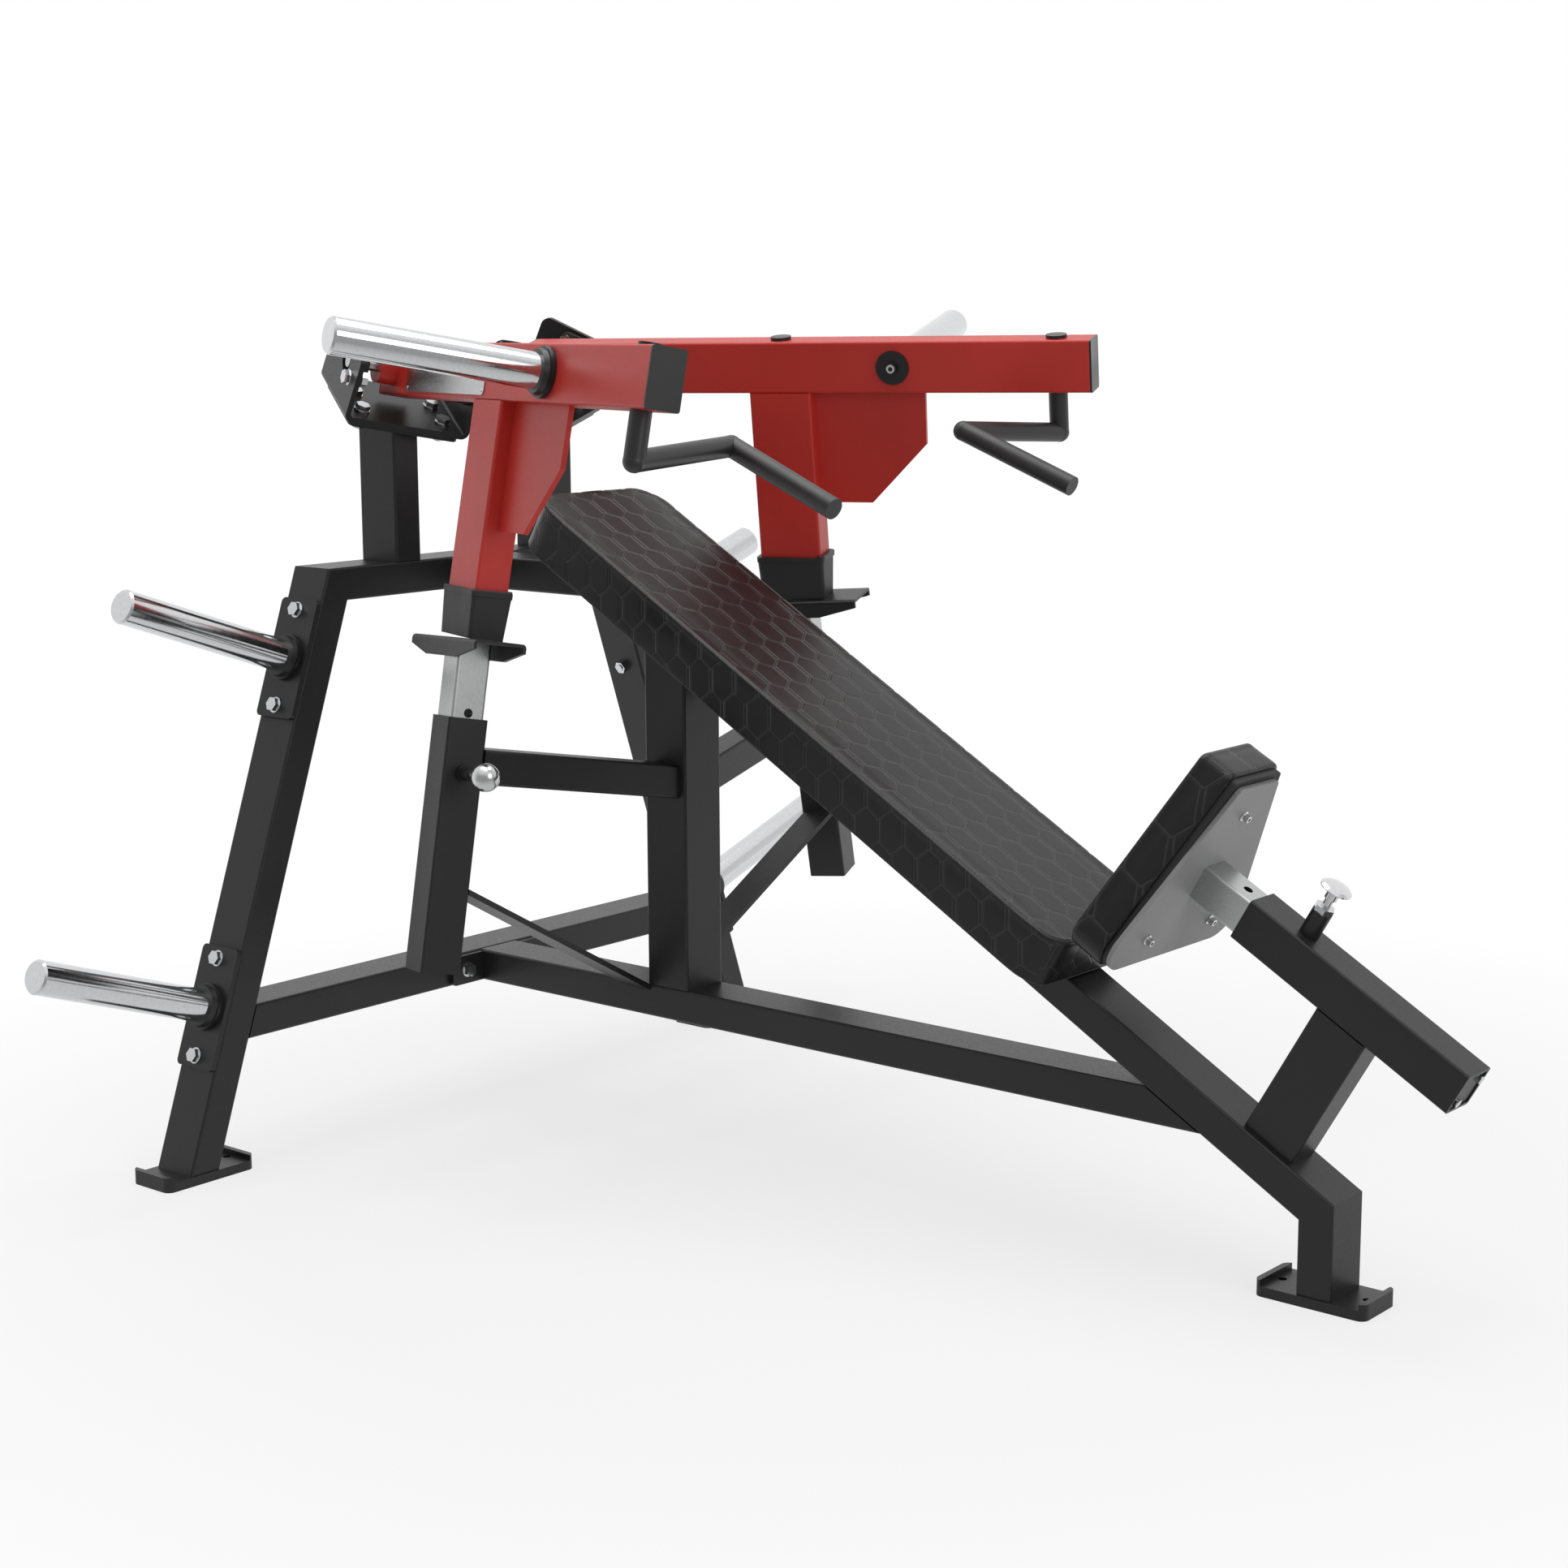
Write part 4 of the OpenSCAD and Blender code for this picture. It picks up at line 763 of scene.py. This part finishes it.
class PRESS_OT_bench_pad(bpy.types.Operator):
    """The bench's stuffed pad, the rolled seam round its face and a thin one low round its side"""
    bl_idname = "press.bench_pad"
    bl_label = "Bench pad"

    def execute(self, context):
        f, p = context.scene.press_finishes, context.scene.press_pads
        co = corners_of("bench_pad")
        s, y, h = co @ ALONG, co @ ACROSS, co @ OUT
        t = p.tuck
        # The cover wraps the board too, and leaves its underside bare.
        board = (corners_of("bench_board") @ OUT).min() + p.wrap
        s0, s1, w, low, high = s.min(), s.max(), y.max(), board, h.max()
        loop = outline([(s0, -w), (s1, -w), (s1, w), (s0, w)],
                       (p.head_round, p.foot_round, p.foot_round, p.head_round), 12)
        cover = embossed_cover("bench_leatherette", f, p)
        verts, faces = cushion_skin(inset(loop, t), low, high - t, p.edge)
        pad = new_piece("bench_cushion", verts, faces, cover)
        stuffed(pad, p, low)
        smooth_once(pad)
        firm_edges(pad, p, loop, low, high, p.edge)
        set_down(pad, PAD_AXES)
        lay_cover(pad, OUT, ALONG, ACROSS,
                  (s.max() - p.cell_from_foot, y.min() + p.cell_from_edge), p, p.flank_size)
        wear(pad, cover)
        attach(pad, "frame")
        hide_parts("bench_pad")
        # Painted highlight: the seams take the lighter line colour, which stands in for light on the
        # rolled edge.
        roll = moulded("rolled_seam_painted_highlight", f.painted_highlight_tint, 0.45)
        # One seam runs on the rounded edge's middle, the other just above the cover's low edge.
        corner = p.edge * (1 - math.sqrt(0.5))
        for name, h_at, inward, r, nick in (
                ("bench_top_seam", high - corner, corner, p.welt, p.nick),
                ("bench_low_seam", low + 0.002, 0.001, p.welt * 0.5, 0.0)):
            flat = inset(loop, inward)
            path = np.column_stack([flat, np.full(len(flat), h_at)]) @ np.stack(PAD_AXES)
            ring = pressed_on(even(path, p.welt_pitch), pad)
            seam = welt(name, ring, r, roll, nick, p.nick_pitch)
            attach(seam, "frame")
        return {"FINISHED"}


class PRESS_OT_seat_pad(bpy.types.Operator):
    """The seat's stuffed pad and the board between it and its plate"""
    bl_idname = "press.seat_pad"
    bl_label = "Seat pad"

    def execute(self, context):
        f, p = context.scene.press_finishes, context.scene.press_pads
        co = corners_of("seat_pad")
        s, y, h = co @ ALONG, co @ ACROSS, co @ OUT
        t = p.tuck
        end_zone = 0.012
        high_half = np.abs(co[h > h.max() - end_zone] @ ACROSS).max() + p.overhang / 2
        low_half = y.max() + p.seat_flare
        end = h.max() + p.overhang
        loop = outline([(-low_half, h.min()), (low_half, h.min()), (high_half, end),
                        (-high_half, end)],
                       (p.seat_low_round,) * 2 + (p.seat_top_round,) * 2, 12)
        face, back = s.min(), s.max() - p.board
        cover = embossed_cover("seat_leatherette", f, p)
        verts, faces = cushion_skin(inset(loop, t), -back, -face - t, p.seat_edge)
        pad = new_piece("seat_cushion", verts, faces, cover)
        stuffed(pad, p, -back)
        smooth_once(pad)
        firm_edges(pad, p, loop, -back, -face, p.seat_edge)
        set_down(pad, SEAT_AXES)
        lay_cover(pad, ALONG, OUT, ACROSS, (h.mean(), 0.0), p, p.seat_size)
        wear(pad, cover)
        into, soft = 0.004, 0.001
        verts, faces = cushion_skin(inset(loop, p.board_in), -s.max(), -back + into, soft)
        board = new_piece("seat_board", verts, faces, moulded("board_edge", f.plastic_tint, 0.6),
                          smooth=False)
        set_down(board, SEAT_AXES)
        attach(board, "seat")
        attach(pad, "seat")
        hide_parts("seat_pad")
        return {"FINISHED"}


class PRESS_OT_small_fittings(bpy.types.Operator):
    """Socket screws under the seat and on the levers, lips on the boots, rivets on the plates"""
    bl_idname = "press.small_fittings"
    bl_label = "Small fittings"

    def execute(self, context):
        f, sizes = context.scene.press_finishes, context.scene.press_fittings
        bright = plated("screw_steel", f.screw_tint, 0.16, 500.0)
        rubber = moulded("lip_rubber", f.rubber_tint, 0.46, 500.0, 0.12)
        self.seat_screws(sizes, bright)
        for side, sign in MIRRORED:
            self.lever_screw(sizes, side, sign, bright)
            self.boot_lip(sizes, side, rubber)
            self.rivets(sizes, side, bright)
        return {"FINISHED"}

    def seat_screws(self, sizes, metal):
        """One small socket screw in each of the seat plate's holes, heads on the outside."""
        outer = (corners_of("seat_plate") @ ALONG).max()
        for i, solid in enumerate(islands_of("seat_screws")):
            middle = (solid.max(0) + solid.min(0)) / 2
            foot = middle + ALONG * (outer + CLEAR - middle @ ALONG)
            screw = socket_screw(f"seat_socket_screw_{i + 1}", foot, ALONG, sizes.seat_head,
                                 sizes.seat_head_up, sizes.seat_washer, sizes.seat_washer_up,
                                 sizes.seat_key, metal)
            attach(screw, "seat")
            if i == 0:
                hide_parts("seat_screws")

    def lever_screw(self, sizes, side, sign, metal):
        """A screw over the stub in the middle of the washer on the lever's inner side."""
        solids = islands_of(f"horn_rings_{side}")
        disc = min(solids, key=lambda p: np.abs(p[:, 1]).min())
        middle = disc.mean(0)
        axis = np.linalg.svd(disc - middle, full_matrices=False)[2][2]
        axis *= -sign * np.sign(axis[1])
        reach = (disc - middle) @ axis
        out = np.linalg.norm(disc - middle - reach[:, None] * axis, axis=1)
        rim = reach[out > 0.9 * out.max()].max()
        height = max(reach.max() - rim + sizes.lever_past, sizes.lever_least)
        screw = socket_screw(f"lever_screw_{side}", middle + axis * rim, axis, sizes.lever_head,
                             height, sizes.lever_washer, sizes.lever_washer_up,
                             sizes.lever_key, metal)
        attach(screw, f"{side}_arm")

    def boot_lip(self, sizes, side, rubber):
        """A band round the boot's mouth: its outline stood out and carried round the rim."""
        co = corners_of(f"boot_{side}")
        first, second = broad_sides(f"boot_{side}")
        axis = np.cross(first, second)
        axis *= np.sign(axis[2])
        top = (co @ axis).max()
        rim_zone = 0.003
        mouth = co[co @ axis > top - rim_zone]
        a, b = mouth @ first, mouth @ second
        proud, tall, wall = sizes.lip_proud, sizes.lip_tall, sizes.lip_wall
        loop = outline([(a.min() - proud, b.min() - proud), (a.max() + proud, b.min() - proud),
                        (a.max() + proud, b.max() + proud), (a.min() - proud, b.max() + proud)],
                       (sizes.lip_round,) * 4, 6)
        # The band's outer edges are rounded, and it stands a little above the rim.
        soft, above, below = 0.0010, 0.0002, 0.0008
        rings = [(loop, top - tall), (loop, top - soft), (inset(loop, soft), top + above),
                 (inset(loop, wall), top + above), (inset(loop, wall), top - tall),
                 (inset(loop, soft), top - tall - below), (loop, top - tall)]
        rings = [q[:, :1] * first + q[:, 1:] * second + z * axis for q, z in rings]
        verts, faces = loft(rings, close_ends=False)
        lip = new_piece(f"boot_lip_{side}", verts, faces, rubber, smooth=False)
        face_outwards(lip)
        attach(lip, f"{side}_arm")

    def rivets(self, sizes, side, metal):
        """A domed rivet in each corner of the bare name plate."""
        co = corners_of(f"name_plate_{side}")
        middle = co.mean(0)
        turn = np.linalg.svd(co - middle, full_matrices=False)[2]
        flat = co @ turn.T - middle @ turn.T
        outward = turn[2] * np.sign(turn[2] @ (middle * (0.0, 1.0, 0.0)) or 1.0)
        face = np.abs(flat[:, 2]).max()
        a = np.linspace(0, 2 * math.pi, 12, endpoint=False)
        for i, (p, q) in enumerate(((-1, -1), (-1, 1), (1, -1), (1, 1))):
            at = (middle + turn[0] * p * (flat[:, 0].max() - sizes.rivet_from_end)
                  + turn[1] * q * (flat[:, 1].max() - sizes.rivet_from_edge) + outward * face)
            rings = [at + outward * z * sizes.rivet_up
                     + (r * sizes.rivet * (turn[0][:, None] * np.cos(a)
                                           + turn[1][:, None] * np.sin(a))).T
                     for r, z in DOME]
            verts, faces = loft(rings)
            rivet = new_piece(f"plate_rivet_{side}_{i + 1}", verts, faces, metal)
            face_outwards(rivet)
            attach(rivet, f"{side}_arm")


class PRESS_OT_stage(bpy.types.Operator):
    """Floor, lamps, sky and camera"""
    bl_idname = "press.stage"
    bl_label = "Studio"

    def execute(self, context):
        scene, st = context.scene, context.scene.press_stage
        self.floor(scene, st)
        self.surroundings(scene, st)
        self.lamps(scene, st)
        self.camera(scene)
        scene.view_settings.view_transform = "Standard"
        return {"FINISHED"}

    def floor(self, scene, st):
        """A matt floor, which turns into the plain white backdrop away from the machine.

        Polished metal and paint see the white backdrop behind and a greyer room in front.
        """
        g = Finish("studio_floor", Roughness=0.9, Specular_IOR_Level=0.1,
                   Base_Color=rgba(st.floor_tint))
        at = g.place()
        camera_ray, seen = self.rays(g)
        far = g.add("VectorMath", {0: at}, operation="LENGTH").outputs["Value"]
        fade = g.math("MULTIPLY", seen, g.remap(far, 0.72, 1.0, 0.9, 2.0))
        room = g.remap(g.along(at, BEHIND), st.room, 1.0, -1.4, 0.4)
        white = g.add("Emission", {"Color": WHITE,
                                   "Strength": g.math("MAXIMUM", camera_ray, room)})
        blend = g.add("MixShader", {0: fade, 1: g.shader.outputs[0], 2: white.outputs[0]})
        g.link(blend.outputs[0], g.tree.nodes["Material Output"].inputs["Surface"])
        mesh = bpy.data.meshes.new("floor")
        r = st.reach
        mesh.from_pydata([(-r, -r, 0), (r, -r, 0), (r, r, 0), (-r, r, 0)], [], [(0, 1, 2, 3)])
        mesh.materials.append(g.material)
        floor = bpy.data.objects.new("floor", mesh)
        scene.collection.objects.link(floor)

    def surroundings(self, scene, st):
        """An even sky for the light, and for the eye and metal the same room above the floor.

        The room is white behind and overhead, and greyer in front.
        """
        world = bpy.data.worlds.new("studio")
        world.use_nodes = True
        g = Graph(world.node_tree)
        light = g.tree.nodes["Background"]
        light.inputs["Color"].default_value = WHITE
        light.inputs["Strength"].default_value = st.sky
        camera_ray, seen = self.rays(g)
        look = g.add("TexCoord").outputs["Generated"]
        up = g.add("SeparateXYZ", {0: look}).outputs["Z"]
        tone = g.math("MAXIMUM", camera_ray, g.remap(g.along(look, BEHIND), st.room, 1.0,
                                                     -0.5, 0.2))
        tone = g.math("MAXIMUM", tone, g.remap(up, st.room, 1.0, 0.35, 0.75))
        room = g.add("Background", {"Color": tone, "Strength": 1.0})
        blend = g.add("MixShader", {0: seen, 1: light.outputs[0], 2: room.outputs[0]})
        g.link(blend.outputs[0], g.tree.nodes["World Output"].inputs["Surface"])
        scene.world = world

    def rays(self, g):
        """Two values: 1 for a camera's ray, and 1 for a camera's or a reflected ray."""
        path = g.add("LightPath")
        camera_ray = path.outputs["Is Camera Ray"]
        return camera_ray, g.math("MAXIMUM", camera_ray, path.outputs["Is Glossy Ray"])

    def lamps(self, scene, st):
        """The two square lamps, each turned to its own point of the machine."""
        for name, power, size, at, aim in (
                ("lamp_over", st.key, st.over_size, (-0.4, 0.0, 4.2), (0.0, 0.0, 0.5)),
                ("lamp_side", st.side, st.side_size, (4.2, -1.0, 2.2), (0.0, 0.0, 0.6))):
            lamp = bpy.data.lights.new(name, "AREA")
            lamp.energy, lamp.size = power, size
            obj = bpy.data.objects.new(name, lamp)
            obj.location = at
            obj.rotation_euler = (Vector(aim) - Vector(at)).to_track_quat("-Z", "Y").to_euler()
            scene.collection.objects.link(obj)

    def camera(self, scene):
        """The camera: level axes turned round, tipped down and then rolled about its view."""
        camera = bpy.data.cameras.new("camera")
        camera.sensor_width, camera.lens = CAMERA_SENSOR, CAMERA_LENS
        camera.clip_end = 200.0
        obj = bpy.data.objects.new("camera", camera)
        azimuth, down, roll = map(math.radians, CAMERA_TURN)
        ahead = Vector((-math.sin(azimuth) * math.cos(down), math.cos(azimuth) * math.cos(down),
                        -math.sin(down)))
        right = Vector((math.cos(azimuth), math.sin(azimuth), 0.0))
        up = right.cross(ahead)
        right, up = (right * math.cos(roll) + up * math.sin(roll),
                     up * math.cos(roll) - right * math.sin(roll))
        turn = Matrix((right, up, -ahead)).transposed().to_4x4()
        obj.matrix_world = Matrix.Translation(CAMERA_AT) @ turn
        scene.collection.objects.link(obj)
        scene.camera = obj


class PRESS_PT_panel(bpy.types.Panel):
    """Lists the steps that dress the machine"""
    bl_label = "Press"
    bl_idname = "PRESS_PT_panel"
    bl_space_type = "VIEW_3D"
    bl_region_type = "UI"
    bl_category = "Press"

    def draw(self, context):
        for group in GROUPS:
            box = self.layout.box()
            settings = getattr(context.scene, group)
            for key in type(settings).__annotations__:
                box.prop(settings, key)
        for step in STEPS:
            self.layout.operator(step.bl_idname)


STEPS = (PRESS_OT_frame_finish, PRESS_OT_metal_finish, PRESS_OT_arm_finish, PRESS_OT_bench_pad,
         PRESS_OT_seat_pad, PRESS_OT_small_fittings, PRESS_OT_stage)
GROUPS = {"press_finishes": PressFinishes, "press_pads": PressPads,
          "press_fittings": PressFittings, "press_stage": PressStage}


def register():
    """Adds the classes and the groups of settings."""
    for cls in (*GROUPS.values(), *STEPS, PRESS_PT_panel):
        bpy.utils.register_class(cls)
    for name, cls in GROUPS.items():
        setattr(bpy.types.Scene, name, PointerProperty(type=cls))


def unregister():
    """Takes them away again."""
    for name in GROUPS:
        delattr(bpy.types.Scene, name)
    for cls in reversed((*GROUPS.values(), *STEPS, PRESS_PT_panel)):
        bpy.utils.unregister_class(cls)


def main():
    """Registers the add-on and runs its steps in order."""
    register()
    for step in STEPS:
        space, name = step.bl_idname.split(".")
        getattr(getattr(bpy.ops, space), name)()


if __name__ == "__main__":
    main()
